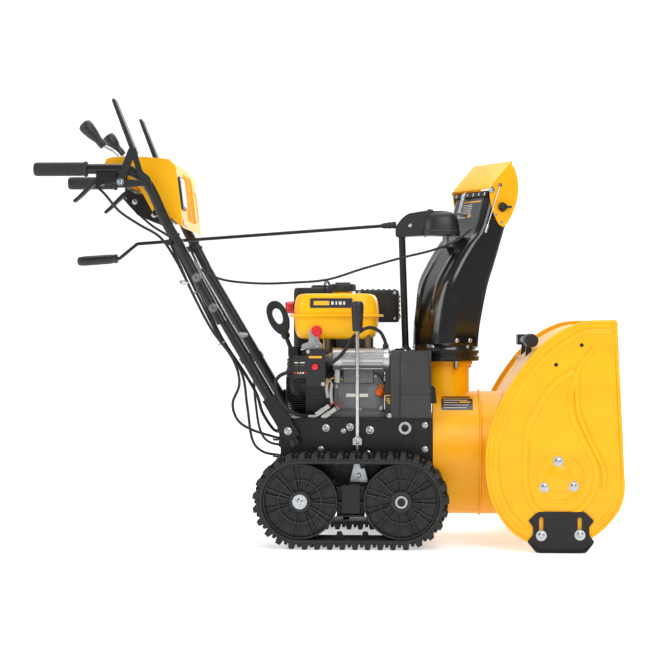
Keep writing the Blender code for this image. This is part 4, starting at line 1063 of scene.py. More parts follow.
@dataclass
class Augers:
    """The two ribbon augers with saw edged bands, the gearbox between them and the impeller."""

    shaft: tuple[float, float] = (0.575, 0.18)
    inner: float = 0.098
    outer: float = 0.148
    start: float = 0.066
    length: float = 0.205
    teeth: int = 18
    tooth: float = 0.006

    def build(self) -> None:
        """Make both flights, the gearbox and dress the impeller."""
        for word, side in SIDES.items():
            shape = Shape()
            shape.turned(mm((292, 13.5), (292, 19), (45, 19), (45, 13.5)),
                (self.shaft[0], 0, self.shaft[1]), (0, side, 0), BLACK, steps=32, ring=True)
            for first in (0.0, math.pi):
                self.band(shape, side, first)
            shape.screw((self.shaft[0], side * 0.058, self.shaft[1] + 0.0185), UP, 0.006)
            shape.build("saw_edged_auger_" + word, "auger", "black_paint", ["auger_flight_" + word])
        box = Shape().cad("auger_gearbox", IRON)
        for turn in circle(6):
            for side in (-1.0, 1.0):
                box.bolt((self.shaft[0] + 0.038 * math.cos(turn), side * 0.028,
                    self.shaft[1] + 0.038 * math.sin(turn)), (0, side, 0), 0.0045)
        box.build("bolted_gearbox", "machine", "cast_iron", ["auger_gearbox"], bevel=0.0015)
        wheel = Shape().cad("impeller", BLACK)
        wheel.build("welded_impeller", "impeller_rotor", "black_paint", ["impeller"], bevel=0.0008)

    def band(self, shape: Shape, side: float, first: float) -> None:
        """One helical band: angle and distance along the shaft grow together over one turn.

        The outer edge drops by one tooth's depth, as a triangle wave, teeth times in the turn.

        Args:
            shape: the piece it joins.
            side: -1 for the right auger, 1 for the left.
            first: the angle at which it starts.
        """
        share = np.linspace(0.0, 1.0, self.teeth * 6 + 1)
        angle = first + share * math.tau
        wave = np.abs((share * self.teeth) % 1.0 - 0.5) * 2
        outer = self.outer - self.tooth * np.clip(wave * 1.6 - 0.3, 0.0, 1.0)
        y = side * (self.start + share * self.length)
        corner = []
        for radius, shift in ((np.full_like(outer, self.inner), -0.002), (outer, -0.002), (outer, 0.002),
                (np.full_like(outer, self.inner), 0.002)):
            corner.append(np.stack([self.shaft[0] + radius * np.cos(angle), y + shift,
                self.shaft[1] - radius * np.sin(angle)], axis=1))
        shape.loft(np.stack(corner, axis=1), BLACK)
        for part in (0.15, 0.5, 0.85):
            turn = first + part * math.tau
            out = np.array([math.cos(turn), 0.0, -math.sin(turn)])
            middle = np.array([self.shaft[0], side * (self.start + part * self.length), self.shaft[1]])
            shape.tube(np.linspace(middle + out * 0.015, middle + out * (self.inner + 0.02), 4), 0.009,
                BLACK, sides=12, flat=0.34)


# ---------------------------------------------------------------- chute


@dataclass
class Chute:
    """The blown chute on its ring, and the tilting hood with its knob and return spring."""

    x: float = 0.305
    yaw: float = math.radians(32.0)
    half: float = 0.0825
    sheet: float = 0.0026
    hinge: tuple[float, float] = (0.085, 0.905)
    spine: Rows = ((0.5, -0.072, 0.04), (0.56, -0.068, 0.048), (0.654, -0.048, 0.07), (0.71, -0.018, 0.09),
        (0.767, 0.022, 0.11), (0.797, 0.048, 0.12), (0.836, 0.064, 0.132), (0.905, 0.085, 0.14))

    def placed(self, points: Points) -> Points:
        """Points from the chute's own frame, in which X is the way it throws, to the machine's."""
        return swivel(points + np.array([self.x, 0.0, 0.0]), (self.x, 0.0), self.yaw)

    def build(self) -> None:
        """Make the chute, its ring, the hood, the knob and the spring."""
        self.trough()
        self.hood()
        self.knob()
        self.spring()

    def trough(self) -> None:
        """The open trough: U sections down the spine, with the corner easing from wide to tight.

        Two shallow flutes run up the back: the offset is a sum of two narrow bell curves across it.
        """
        rows = curve(self.spine, 54)
        height, back, front = (rows[:, column, None] for column in range(3))
        corner = 0.02 + 0.032 / (1 + np.exp((height - 0.64) / 0.025))
        wall = np.linspace(0.0, 1.0, 10)[None, :]
        turn = np.radians(np.linspace(0.0, 90.0, 9))[None, 1:-1]
        span = np.linspace(-1.0, 1.0, 25)[None, :]
        side_x = front + (back + corner - front) * wall
        side_y = -self.half + 0 * side_x
        bend_x = back + corner * (1 - np.sin(turn))
        bend_y = -self.half + corner * (1 - np.cos(turn))
        back_y = (self.half - corner) * span
        flute = np.exp(-((back_y - 0.036) / 0.006) ** 2) + np.exp(-((back_y + 0.036) / 0.006) ** 2)
        fade = np.clip((height - 0.53) / 0.05, 0, 1) * np.clip((0.76 - height) / 0.05, 0, 1)
        back_x = back - 0.0035 * flute * fade
        x = np.hstack([side_x, bend_x, back_x, bend_x[:, ::-1], side_x[:, ::-1]])
        y = np.hstack([side_y, bend_y, back_y, -bend_y[:, ::-1], -side_y[:, ::-1]])
        z = np.broadcast_to(height, x.shape)
        shape = Shape().grid(self.placed(np.stack([x, y, z], axis=-1)), CHUTE_BLACK)
        shape.build("blown_chute", "chute_body", "black_plastic", ["chute"], wall=self.sheet)
        trim = Shape()
        for side in (-1.0, 1.0):
            edge = np.stack([rows[:, 2], np.full(len(rows), side * self.half), rows[:, 0]], axis=1)
            trim.tube(edge, 0.0034, CHUTE_BLACK, sides=10)
            for x in (0.02, -0.02):
                trim.screw((x, side * (self.half + 0.0012), 0.515), (0, side, 0), 0.0062)
        trim.turned(mm((462, 64), (462, 85), (464, 86.8), (474, 86.8), (475.5, 83.5), (480, 83.5),
            (481.5, 86.8), (490, 86.8), (492, 85), (505, 83.8), (506, 82), (506, 64)), (0, 0, 0), UP,
            CHUTE_BLACK, steps=96, ring=True)
        for turn in np.radians(np.linspace(15.0, 345.0, 6)):
            out = np.array([math.cos(turn), math.sin(turn), 0.0])
            trim.screw(out * 0.0842 + (0, 0, 0.4985), out, 0.0048)
        trim.plate(rounded(mm((-14, -14), (36, -14), (36, 14), (-14, 14)), 0.008), "XY", 0.756, 0.76, BLACK)
        trim.moved(self.placed)
        trim.build("chute_ring_and_edges", "chute_body", "black_plastic")
        self.label()

    def label(self) -> None:
        """The plain film, the hinge strip and its screws on the back of the chute's top."""
        shape = Shape()
        self.film(shape, (-0.06, 0.832), (0.052, 0.886), 0.0006, FILM)
        self.film(shape, (-0.052, 0.8765), (0.044, 0.88), 0.0009, GOLD_PRINT)
        for row in range(6):
            self.film(shape, (-0.016, 0.87 - 0.0045 * row),
                (0.044 - 0.004 * (row % 3), 0.8716 - 0.0045 * row), 0.0009, PRINT)
        self.film(shape, (-0.02, 0.837), (-0.006, 0.845), 0.0009, GOLD_PRINT)
        self.film(shape, (0.002, 0.837), (0.046, 0.839), 0.0009, PRINT)
        self.film(shape, (-0.078, 0.89), (0.078, 0.902), 0.004, BLACK)
        for y in np.linspace(-0.066, 0.066, 6):
            shape.screw((0.064 + 0.06 * 0.304 - 0.005, y, 0.896), (-1.0, 0.0, 0.3), 0.0042)
        shape.moved(self.placed)
        shape.build("chute_label_and_hinge_strip", "chute_body", "black_plastic")
        wire = Shape()
        low, high = (0.066, -0.0915, 0.805), (0.108, -0.0925, 0.919)
        wire.tube(np.linspace(low, high, 12), 0.0012, ZINC, sides=8)
        wire.turned(mm((-3, 0), (-3, 4.6), (3, 4.6), (3, 0)), high, LEFT, ZINC, steps=20)
        wire.turned(mm((-12, 0), (-12, 3.8), (10, 3.8), (10, 0)), low, (0.35, 0, 0.94), ZINC, steps=20)
        wire.moved(self.placed)
        thing = wire.build("deflector_wire", "chute_body", "zinc_steel")
        stretch(thing, "chute_body", "hood", *self.placed(np.array([low, high])))

    def film(self, shape: Shape, low: Place, high: Place, proud: float, finish: Finish) -> None:
        """A film on the sloping back: X = 0.064 + 0.304 * (Z - 0.836), less half the sheet.

        Args:
            shape: the piece it joins.
            low: Y and Z of its lower corner.
            high: Y and Z of its upper corner.
            proud: how far it stands off the back.
            finish: what it wears.
        """
        flat = np.array([(low[0], low[1]), (high[0], low[1]), (high[0], high[1]), (low[0], high[1])])
        x = 0.064 + (flat[:, 1] - 0.836) * 0.304 - self.sheet / 2
        shape.loft(np.stack([in_plane(flat, "YZ", x - rise) for rise in (-0.0005, proud)]), finish)

    def hood(self) -> None:
        """The deflector: two ears and a crowned roof, a folded lip, rivets and hinge bolts."""
        shape = Shape()
        reach, level = self.hinge
        front = curve(mm((60, 73.5), (74.5, 54), (83.2, 20), (80, -21), (65, -59), (48, -85), (35, -95)),
            36)
        rear = curve(mm((35, -95), (19, -83), (3, -50), (-5.5, -12), (-4, 6)), 24)
        outline = np.vstack([front, rear[1:]]) + (reach, level)
        inside = self.half + self.sheet / 2 + 0.0012
        for side in (-1.0, 1.0):
            shape.flank(outline, side, inside, inside + 0.003, YELLOW)
            face = side * (inside + 0.003)
            shape.bolt((reach, face, level), (0, side, 0), 0.0068)
            for x, z in mm((12, -64), (30, -83)):
                shape.turned(mm((0, 4.2), (1.2, 3.6), (2, 0)), (reach + x, face, level + z), (0, side, 0),
                    ZINC, steps=16)
        line = curve(mm((-5, 4), (12, 24), (34, 47), (63, 75.5)), 22)
        width = np.linspace(-1.0, 1.0, 25)[None, :]
        crown = 0.0045 * (1 - width ** 4)
        normal = np.array([-0.72, 0.69])
        layers = []
        for thick in (0.0, 0.003):
            flat = line[:, None, :] + normal * (crown[..., None] * np.sin(np.linspace(0, math.pi, 22))[:,
                None, None] ** 0.5 + thick - 0.001)
            y = np.broadcast_to(width * (inside + 0.003), flat.shape[:2])
            layers.append(np.stack([reach + flat[..., 0], y, level + flat[..., 1]], axis=-1))
        shape.loft(np.concatenate([layers[0], layers[1][:, ::-1]], axis=1), YELLOW)
        for y in np.linspace(-0.07, 0.07, 6):
            shape.turned(mm((0, 4.5), (1.4, 3.8), (2.4, 0)), (reach + 0.004, y, level + 0.0165),
                (-0.72, 0, 0.69), ZINC, steps=16)
        shape.tube(np.array([(reach + 0.064, y, level + 0.075) for y in np.linspace(-inside, inside, 6)]),
            0.0032, YELLOW, sides=12)
        shape.moved(self.placed)
        shape.build("riveted_deflector", "hood", "yellow_paint", ["deflector"], bevel=0.0008)

    def knob(self) -> None:
        """The wing knob that holds the hood's tilt."""
        shape = Shape()
        face = -self.half - self.sheet / 2 - 0.0047
        place = (0.118, face, 0.862)
        shape.turned(mm((-1, 12.5), (1.5, 12.5), (2, 9.5), (10, 8.5), (12.5, 6.5), (13, 0)), place, RIGHT,
            ABS, steps=32)
        wing = curve(mm((-20, 10), (-17, 18), (-9, 16), (0, 10), (9, 16), (17, 18), (20, 10), (14, 3),
            (0, 1), (-14, 3)), 48, closed=True)
        flat = np.stack([place[0] + wing[:, 0], face - wing[:, 1]], axis=1)
        shape.plate(flat, "XY", 0.859, 0.865, ABS)
        shape.moved(self.placed)
        shape.build("wing_nut", "wing_knob", "black_plastic", ["deflector_knob"], bevel=0.001)

    def spring(self) -> None:
        """The hood's return spring: a helix of wire with a straight hook at each end."""
        low = np.array([0.053, 0.02, 0.8395])
        high = np.array([0.0735, 0.02, 0.9065])
        across, up, along = basis(high - low)
        length = float(np.linalg.norm(high - low))
        turns = 15
        share = np.linspace(0.0, 1.0, turns * 14)
        angle = share[:, None] * turns * math.tau
        coil = low + along * (0.008 + (length - 0.016) * share[:, None]) + 0.005 * (np.cos(angle) * across
            + np.sin(angle) * up)
        shape = Shape()
        path = np.vstack([low, low + along * 0.004, coil, high - along * 0.004, high])
        line = even(path, len(path) * 2)
        self.coiled_wire(shape, line, 0.0014)
        shape.moved(self.placed)
        thing = shape.build("return_spring", "chute_body", "zinc_steel", ["deflector_spring"])
        stretch(thing, "chute_body", "hood", *self.placed(np.array([low, high])))

    def coiled_wire(self, shape: Shape, line: Points, radius: float) -> None:
        """A thin round section whose side vector is square to each step and to the spring's axis.

        Args:
            shape: the piece it joins.
            line: the wire's middle line.
            radius: the wire's radius.
        """
        heading = unit(np.gradient(line, axis=0))
        axis = unit(line[-1] - line[0])
        across = np.cross(heading, axis + 0.01)
        across = across / np.maximum(np.linalg.norm(across, axis=1, keepdims=True), 1e-6)
        up = np.cross(across, heading)
        angle = circle(6)
        spoke = np.cos(angle)[None, :, None] * across[:, None] + np.sin(angle)[None, :, None] * up[:, None]
        ring = line[:, None] + radius * spoke
        ring = np.concatenate([line[:1, None] + 0 * ring[:1], ring, line[-1:, None] + 0 * ring[-1:]])
        shape.grid(ring, ZINC, wrap_v=True)


@dataclass
class ChuteDrive:
    """The post and gear head behind the chute, and the crank rod that turns it."""

    x: float = 0.305
    rod_start: tuple[float, float, float] = (0.1755, 0.0, 0.817)
    rod_end: tuple[float, float, float] = (-0.505, 0.0, 0.769)

    def build(self) -> None:
        """Make the post with its head, and the crank."""
        self.post()
        self.crank()

    def post(self) -> None:
        """The steel post, its foot, the tapering arm and the moulded cap over the gears."""
        shape = Shape()
        shape.tube(np.linspace((0.2, 0, 0.49), (0.19, 0, 0.8), 12), 0.009, BLACK, sides=24)
        shape.plate(rounded(mm((172, -30), (214.5, -30), (214.5, 30), (172, 30)), 0.008), "XY", 0.4893,
            0.4935, BLACK)
        shape.turned(mm((493.5, 13), (497.5, 10.5), (501, 9.2), (501, 8)), (0.2, 0, 0), UP, BLACK, steps=24)
        for y in (-0.021, 0.021):
            shape.bolt((0.193, y, 0.4935), UP, 0.0052)
        arm = rounded(mm((173.5, 784), (173.5, 811), (190, 833), (207, 846), (252, 853), (300, 851),
            (295, 790), (210, 786)), 0.008)
        shape.plate(arm, "XZ", -0.02, 0.02, ABS)
        level = np.array([0.788, 0.79, 0.8, 0.802, 0.815, 0.83, 0.842, 0.8495, 0.853])
        size = np.array([0.96, 1.0, 1.0, 0.95, 0.93, 0.88, 0.76, 0.56, 0.3])
        shape.loft(soft_box((0.2905, 0.0), (0.0525 * size, 0.0375 * size), level, 0.82, 56), ABS)
        shape.turned(mm((852, 8.5), (856, 8), (858, 5), (858, 0)), (0.264, 0, 0), UP, ABS, steps=24)
        for x, y in mm((250, -27), (250, 27), (327, -18), (327, 18)):
            shape.screw((x, y, 0.788), DOWN, 0.0045)
        for side in (-1.0, 1.0):
            shape.screw((0.212, side * 0.02, 0.814), (0, side, 0), 0.005)
        shape.turned(mm((760.3, 0), (760.3, 8), (766, 8), (768, 5.5), (796, 5.5)), (self.x, 0, 0), UP, ZINC,
            steps=24)
        angle = np.linspace(0.0, 6 * math.tau, 120)
        coil = np.stack([self.x + 0.0085 * np.cos(angle), 0.0085 * np.sin(angle),
            np.linspace(0.769, 0.787, 120)], axis=1)
        shape.tube(coil, 0.001, ZINC, sides=6)
        shape.build("gear_head_on_post", "machine", "black_paint", ["chute_post"], bevel=0.0016)

    def crank(self) -> None:
        """The long rod with its joint boot, bent at the back, and its moulded handle."""
        shape = Shape()
        start = np.array(self.rod_start)
        end = np.array(self.rod_end)
        rear = unit(end - start)
        down = np.array([rear[2], 0.0, -rear[0]])
        down = down * -np.sign(down[2])
        line = curve([end, end + rear * 0.006 + down * 0.003, end + rear * 0.026 + down * 0.017,
            end + rear * 0.046 + down * 0.031, end + rear * 0.056 + down * 0.035,
            end + rear * 0.11 + down * 0.035, end + rear * 0.158 + down * 0.035], 48)
        straight = np.linspace(start, end - rear * 0.004, 30)
        shape.tube(np.vstack([straight, line]), 0.0045, BLACK, sides=14)
        shape.turned(mm((0, 0), (0, 8.5), (6, 9.5), (12, 8), (18, 9), (24, 7.5), (30, 8), (40, 5), (40, 0)),
            start, rear, SOFT_RUBBER, steps=24)
        handle = [*mm((0, 0), (0, 10), (3, 11.8), (8, 12.2), (10, 11.2), (13, 11.2), (15, 11.8))]
        handle += [*mm((94, 12.2), (102, 11.6), (106, 9), (107, 0))]
        place = end + rear * 0.056 + down * 0.035
        shape.turned(handle, place, rear, ABS, steps=40)
        across, up, _ = basis(rear)
        for turn in circle(10):
            out = across * math.cos(turn) + up * math.sin(turn)
            shape.tube([place + rear * 0.018 + out * 0.0117, place + rear * 0.092 + out * 0.0121], 0.001,
                ABS, sides=6)
        shape.turned(mm((106, 0), (106, 4.5), (109, 4), (110, 0)), place, rear, ZINC, steps=20)
        shape.build("crank_with_handle", "crank", "black_paint", ["chute_crank"])


# ---------------------------------------------------------------- chassis and tracks


@dataclass
class Chassis:
    """The folded box under the engine, its fastenings and the moulded belt cover."""

    wall: float = 0.15
    top: float = 0.3192

    def build(self) -> None:
        """Make the chassis, the cover and dress the hidden drive."""
        shape = Shape().cad("chassis", BLACK)
        for side in (-1.0, 1.0):
            face = side * self.wall
            out = (0.0, side, 0.0)
            lip = sorted((face, face + side * 0.0035))
            shape.block((-0.117, lip[0], self.top - 0.005), (0.2697, lip[1], self.top), BLACK)
            shape.block((0.26, lip[0], 0.17), (0.2697, lip[1], self.top - 0.0052), BLACK)
            for x, z, size in mm((-1.1, 293.8, 7.5), (59.8, 296.3, 7.5), (110.5, 288.7, 8),
                    (43.3, 286.2, 5), (250, 301.4, 6), (250, 240.5, 6)):
                shape.bolt((x, face, z), out, size)
            shape.turned(mm((0, 16.5), (2.6, 15.8), (2.6, 9.5), (0, 9)), (0.1992, face, 0.2938), out, ZINC,
                steps=36, ring=True)
            shape.bolt((0.1992, face, 0.2938), out, 0.007, BLACK)
            for x, z in mm((-13.8, 240.5), (105.4, 230.4)):
                shape.turned(mm((0, 19), (4, 18), (4, 13), (2, 12), (2, 0)), (x, face, z), out, BLACK,
                    steps=36)
                shape.bolt((x, face + side * 0.002, z), out, 0.0058)
            shape.turned(mm((0, 24), (3, 22), (3, 14), (0, 14)), (-0.06, face, 0.118), out, BLACK, steps=36,
                ring=True)
        for y in (-0.12, -0.04, 0.04, 0.12):
            shape.bolt((-0.117, y, 0.296), BACK, 0.006)
        shape.build("bolted_chassis", "machine", "black_paint", ["chassis"], bevel=0.002)
        self.cover()
        dress(["drive_disc"], IRON)
        dress(["friction_wheel", "auger_belt"], RUBBER)
        dress(["impeller_shaft", "crankshaft"], ZINC)

    def cover(self) -> None:
        """The belt cover: a soft edged moulding with a stepped foot, a corner rib and its bolts."""
        shape = Shape().cad("belt_cover", CHARCOAL)
        for side in (-1.0, 1.0):
            face = side * self.wall
            front = mm((188, 376.5), (188, 470), (191.5, 488), (248, 488.5), (256, 480), (262, 390),
                (262.5, 376.5))
            shape.flank(rounded(front, 0.006), side, self.wall - 0.001, self.wall + 0.006, CHARCOAL)
            foot = mm((188, 320), (188, 378), (263, 378), (265, 320))
            shape.flank(rounded(foot, 0.003), side, self.wall - 0.001, self.wall + 0.0085, CHARCOAL)
            shape.bolt((0.159, face, 0.325), (0, side, 0), 0.005)
            rear = mm((148, 320), (170, 320), (170, 470), (154, 470), (148, 440))
            shape.flank(rounded(rear, 0.008), side, 0.138, 0.144, ABS)
        low, high = -0.1448, -0.1436
        shape.plate(slim(0.016, 0.0022) + (0.156, 0.376), "XZ", low, high, GOLD_PRINT)
        for row in range(4):
            shape.plate(slim(0.011 - 0.0012 * row, 0.0018) + (0.156 + 0.0008 * row, 0.368 - 0.004 * row),
                "XZ", low, high, GOLD_PRINT)
        for y in (-0.125, 0.125):
            shape.bolt((0.2, y, 0.489), UP, 0.0052)
        shape.build("moulded_belt_cover", "machine", "black_plastic", ["belt_cover"], bevel=0.0045)
        bracket = Shape()
        for side in (-1.0, 1.0):
            outline = rounded(mm((264, 356), (280, 356), (276, 396), (264, 404)), 0.004)
            bracket.flank(outline, side, 0.14, 0.1435, BLACK)
        bracket.build("drum_brackets", "machine", "black_paint", bevel=0.0008)


@dataclass
class Tracks:
    """The track carriage, the ribbed wheels, the lugged rubber tracks and the height lever."""

    axle_x: float = -0.06
    idler_x: float = 0.191
    axle_z: float = 0.118
    inner: float = 0.0943
    outer: float = 0.104
    lug: float = 0.118
    near: float = 0.1615
    far: float = 0.283
    lugs: int = 37

    def build(self) -> None:
        """Make the carriage, both tracks, the four wheels and the lever."""
        self.carriage()
        for word, side in SIDES.items():
            self.belt(word, side)
            self.wheel("drive_wheel_" + word, "drive_" + word, self.axle_x, side, True)
            self.wheel("idler_wheel_" + word, "idler_" + word, self.idler_x, side, False)
        self.lever()

    def loop(self, run: Points, radius: Points) -> Points:
        """Points round the track: straight below, half a turn in front, straight above, half a turn behind.

        Args:
            run: distance along the belt, measured on its outer face.
            radius: height above the wheels' centres' line.

        Returns:
            X, then Z, on the last axis.
        """
        straight = self.idler_x - self.axle_x
        half = math.pi * self.outer
        run = np.mod(run, 2 * (straight + half))
        front = np.clip((run - straight) / self.outer, 0.0, math.pi)
        back = np.clip((run - 2 * straight - half) / self.outer, 0.0, math.pi)
        low = np.clip(run, 0.0, straight)
        high = np.clip(run - straight - half, 0.0, straight)
        turn = front + back
        x = self.axle_x + low - high + radius * np.sin(turn)
        return np.stack([x, self.axle_z - radius * np.cos(turn)], axis=-1)

    def bars(self, shape: Shape, side: float, near: float, far: float, place: Points, base: float,
            tip: float, wide: float, narrow: float) -> None:
        """A row of tapered bars round the track, all at once.

        Args:
            shape: the piece they join.
            side: -1 or 1.
            near: the distance of their inner end from the machine's middle.
            far: the distance of their outer end.
            place: where each is along the belt.
            base: height of their foot.
            tip: height of their crest.
            wide: length of the foot along the belt.
            narrow: length of the crest.
        """
        run = place[:, None] + np.array([-wide, wide, narrow, -narrow]) / 2
        level = np.broadcast_to(np.array([base, base, tip, tip]), run.shape)
        flat = self.loop(run, level)
        ends = [in_plane(flat, "XZ", side * reach) for reach in (near, near + 0.003, far - 0.003, far)]
        slope = np.array([0.0, 0.0, 1.0, 1.0])[None, :, None]
        middle = in_plane(self.loop(place[:, None] + 0 * run, level - 0.004), "XZ", side * near)
        ends[0] = ends[0] * (1 - 0.25 * slope) + middle * 0.25 * slope
        middle[..., 1] = side * far
        ends[3] = ends[3] * (1 - 0.25 * slope) + middle * 0.25 * slope
        block = np.stack(ends, axis=1)
        start = np.arange(len(place))[:, None, None] * 16
        index = np.arange(16).reshape(4, 4)
        after = np.roll(index, -1, axis=1)
        sides = np.stack([index[:-1], after[:-1], after[1:], index[1:]], axis=-1).reshape(-1, 4)
        caps = np.array([index[0], index[3, ::-1]])
        faces = (start + np.vstack([sides, caps])[None]).reshape(-1, 4)
        shape.add(block, [faces], RUBBER)

    def belt(self, word: str, side: float) -> None:
        """One rubber track: the band, staggered lugs outside and guide blocks inside.

        Args:
            word: right or left.
            side: -1 or 1.
        """
        shape = Shape()
        total = 2 * (self.idler_x - self.axle_x) + math.tau * self.outer
        run = np.linspace(0.0, total, 220, endpoint=False)[:, None]
        level = np.array([self.inner, self.inner, self.outer - 0.002, self.outer, self.outer,
            self.outer - 0.002])
        flat = self.loop(run + 0 * level, np.broadcast_to(level, (220, 6)))
        y = side * np.array([self.near, self.far, self.far, self.far - 0.003, self.near + 0.003, self.near])
        band = np.stack([flat[..., 0], np.broadcast_to(y, (220, 6)), flat[..., 1]], axis=-1)
        shape.grid(band, RUBBER, wrap_u=True, wrap_v=True)
        pitch = total / self.lugs
        place = (np.arange(self.lugs) + 0.375) * pitch
        middle = (self.near + self.far) / 2
        self.bars(shape, side, middle + 0.006, self.far, place, self.outer - 0.001, self.lug, 0.019, 0.011)
        self.bars(shape, side, self.near, middle - 0.006, place, self.outer - 0.001, self.lug, 0.019, 0.011)
        self.bars(shape, side, middle - 0.026, middle + 0.026, place + pitch / 2, self.outer - 0.001,
            self.lug - 0.002, 0.013, 0.007)
        self.bars(shape, side, self.far - 0.01, self.far + 0.0002, place + pitch / 2, self.outer - 0.001,
            self.outer + 0.004, 0.01, 0.006)
        guides = (np.arange(18) + 0.5) * total / 18
        self.bars(shape, side, middle - 0.0075, middle + 0.0075, guides, self.inner + 0.001,
            self.inner - 0.0145, 0.02, 0.012)
        shape.build("lugged_track_" + word, "carriage", "black_rubber", ["track_belt_" + word], smooth=30.0)

    def wheel(self, node: str, body: str, x: float, side: float, driven: bool) -> None:
        """A moulded wheel: a dished face with rings and eleven pairs of radial ribs.

        Args:
            node: the CAD node it replaces.
            body: the body it turns with.
            x: where its axis is.
            side: -1 or 1.
            driven: whether it is on the driven axle, with the big washer.
        """
        shape = Shape()
        centre = (x, 0.0, self.axle_z)
        out = (0.0, side, 0.0)
        if driven:
            shape.turned(mm((36.5, 0), (36.5, 12.5), (170, 12.5)), centre, out, IRON, steps=32)
        shape.turned(mm((168, 12.5), (168, 90), (171, 93.5), (210, 93.5), (213, 90.5), (214, 78), (230, 78),
            (231, 90.5), (234, 93.5), (272, 93.5), (275, 92.5), (275, 89.2), (273.5, 88), (261, 87),
            (261, 55.5), (271, 54.5), (271, 51.5), (261, 50.5), (261, 29), (274, 27.5), (276, 25.5),
            (276, 11), (168, 11)), centre, out, ABS, steps=88, ring=False)
        for number in range(11):
            for lean in (-0.085, 0.085):
                angle = number * math.tau / 11 + lean
                spoke = np.array([math.cos(angle), 0.0, math.sin(angle)])
                for level, radius in ((0.27, 0.0017), (0.267, 0.0015), (0.264, 0.0017)):
                    foot = np.array(centre) + np.array(out) * level
                    shape.tube([foot + spoke * reach for reach in (0.027, 0.044, 0.06, 0.088)], radius, ABS,
                        sides=8)
            angle = (number + 0.5) * math.tau / 11
            spot = np.array(centre) + 0.067 * np.array([math.cos(angle), 0.0,
                math.sin(angle)]) + np.array(out) * 0.2605
            shape.turned(mm((0, 6), (3, 5.5), (3, 3), (1, 2.5), (1, 0)), spot, out, ABS, steps=18)
        if driven:
            shape.turned(mm((275.5, 18), (278.5, 18), (278.5, 0)), centre, out, ZINC, steps=40)
            shape.bolt(np.array(centre) + np.array(out) * 0.2785, out, 0.0095)
        else:
            shape.turned(mm((275.5, 15), (278, 15), (278, 0)), centre, out, ZINC, steps=40)
            shape.turned(mm((278, 10.5), (287, 10.5), (288.5, 8.5), (288.5, 0)), centre, out, ZINC, steps=6)
        shape.build("ribbed_" + node, body, "black_plastic", [node], smooth=32.0)

    def carriage(self) -> None:
        """The cross tube and side beams, each with an outer channel between the wheels."""
        shape = Shape().cad("track_carriage", BLACK)
        for side in (-1.0, 1.0):
            low, high = sorted((side * 0.238, side * 0.241))
            shape.block((0.03, low, 0.08), (0.1, high, 0.154), BLACK)
            for z in (0.08, 0.113, 0.15):
                inner, outer = sorted((side * 0.23, side * 0.262))
                shape.block((0.03, inner, z), (0.1, outer, z + 0.004), BLACK)
        shape.build("welded_carriage", "carriage", "black_paint", ["track_carriage"], bevel=0.0012)
        plate = Shape()
        outline = rounded(mm((61.5, 164), (106.6, 164), (95, 211), (73, 211)), 0.005)
        plate.plate(outline, "XZ", -0.203, -0.2, BRUSHED)
        plate.block((0.0615, -0.203, 0.161), (0.1066, -0.165, 0.164), BRUSHED)
        plate.bolt((0.084, -0.203, 0.178), RIGHT, 0.006)
        plate.build("lever_plate", "carriage", "zinc_steel", bevel=0.0008)

    def lever(self) -> None:
        """The height lever: a plated rod, its clevis and a tapered moulded grip."""
        x, y = 0.08, -0.19
        shape = Shape()
        shape.turned(mm((200, 0), (200, 4.5), (202, 5), (548, 5)), (x, y, 0), UP, ZINC, steps=24)
        shape.turned(mm((539, 5), (539, 11.2), (540.5, 12.4), (545, 12.8), (560, 13.6), (585, 15),
            (602, 15.6), (609, 15), (613, 12.8), (615, 8), (615.5, 0)), (x, y, 0), UP, ABS, steps=40)
        shape.block((x - 0.012, y - 0.0085, 0.254), (x + 0.012, y + 0.0095, 0.27), ZINC, round_by=0.003)
        shape.bolt((x, y - 0.0085, 0.262), RIGHT, 0.0058)
        shape.turned(mm((270, 8.5), (274, 8.5), (275.5, 6), (275.5, 0)), (x, y, 0), UP, ZINC, steps=6)
        shape.build("height_lever_and_grip", "lift_lever", "zinc_steel", ["height_lever"])


# ---------------------------------------------------------------- engine


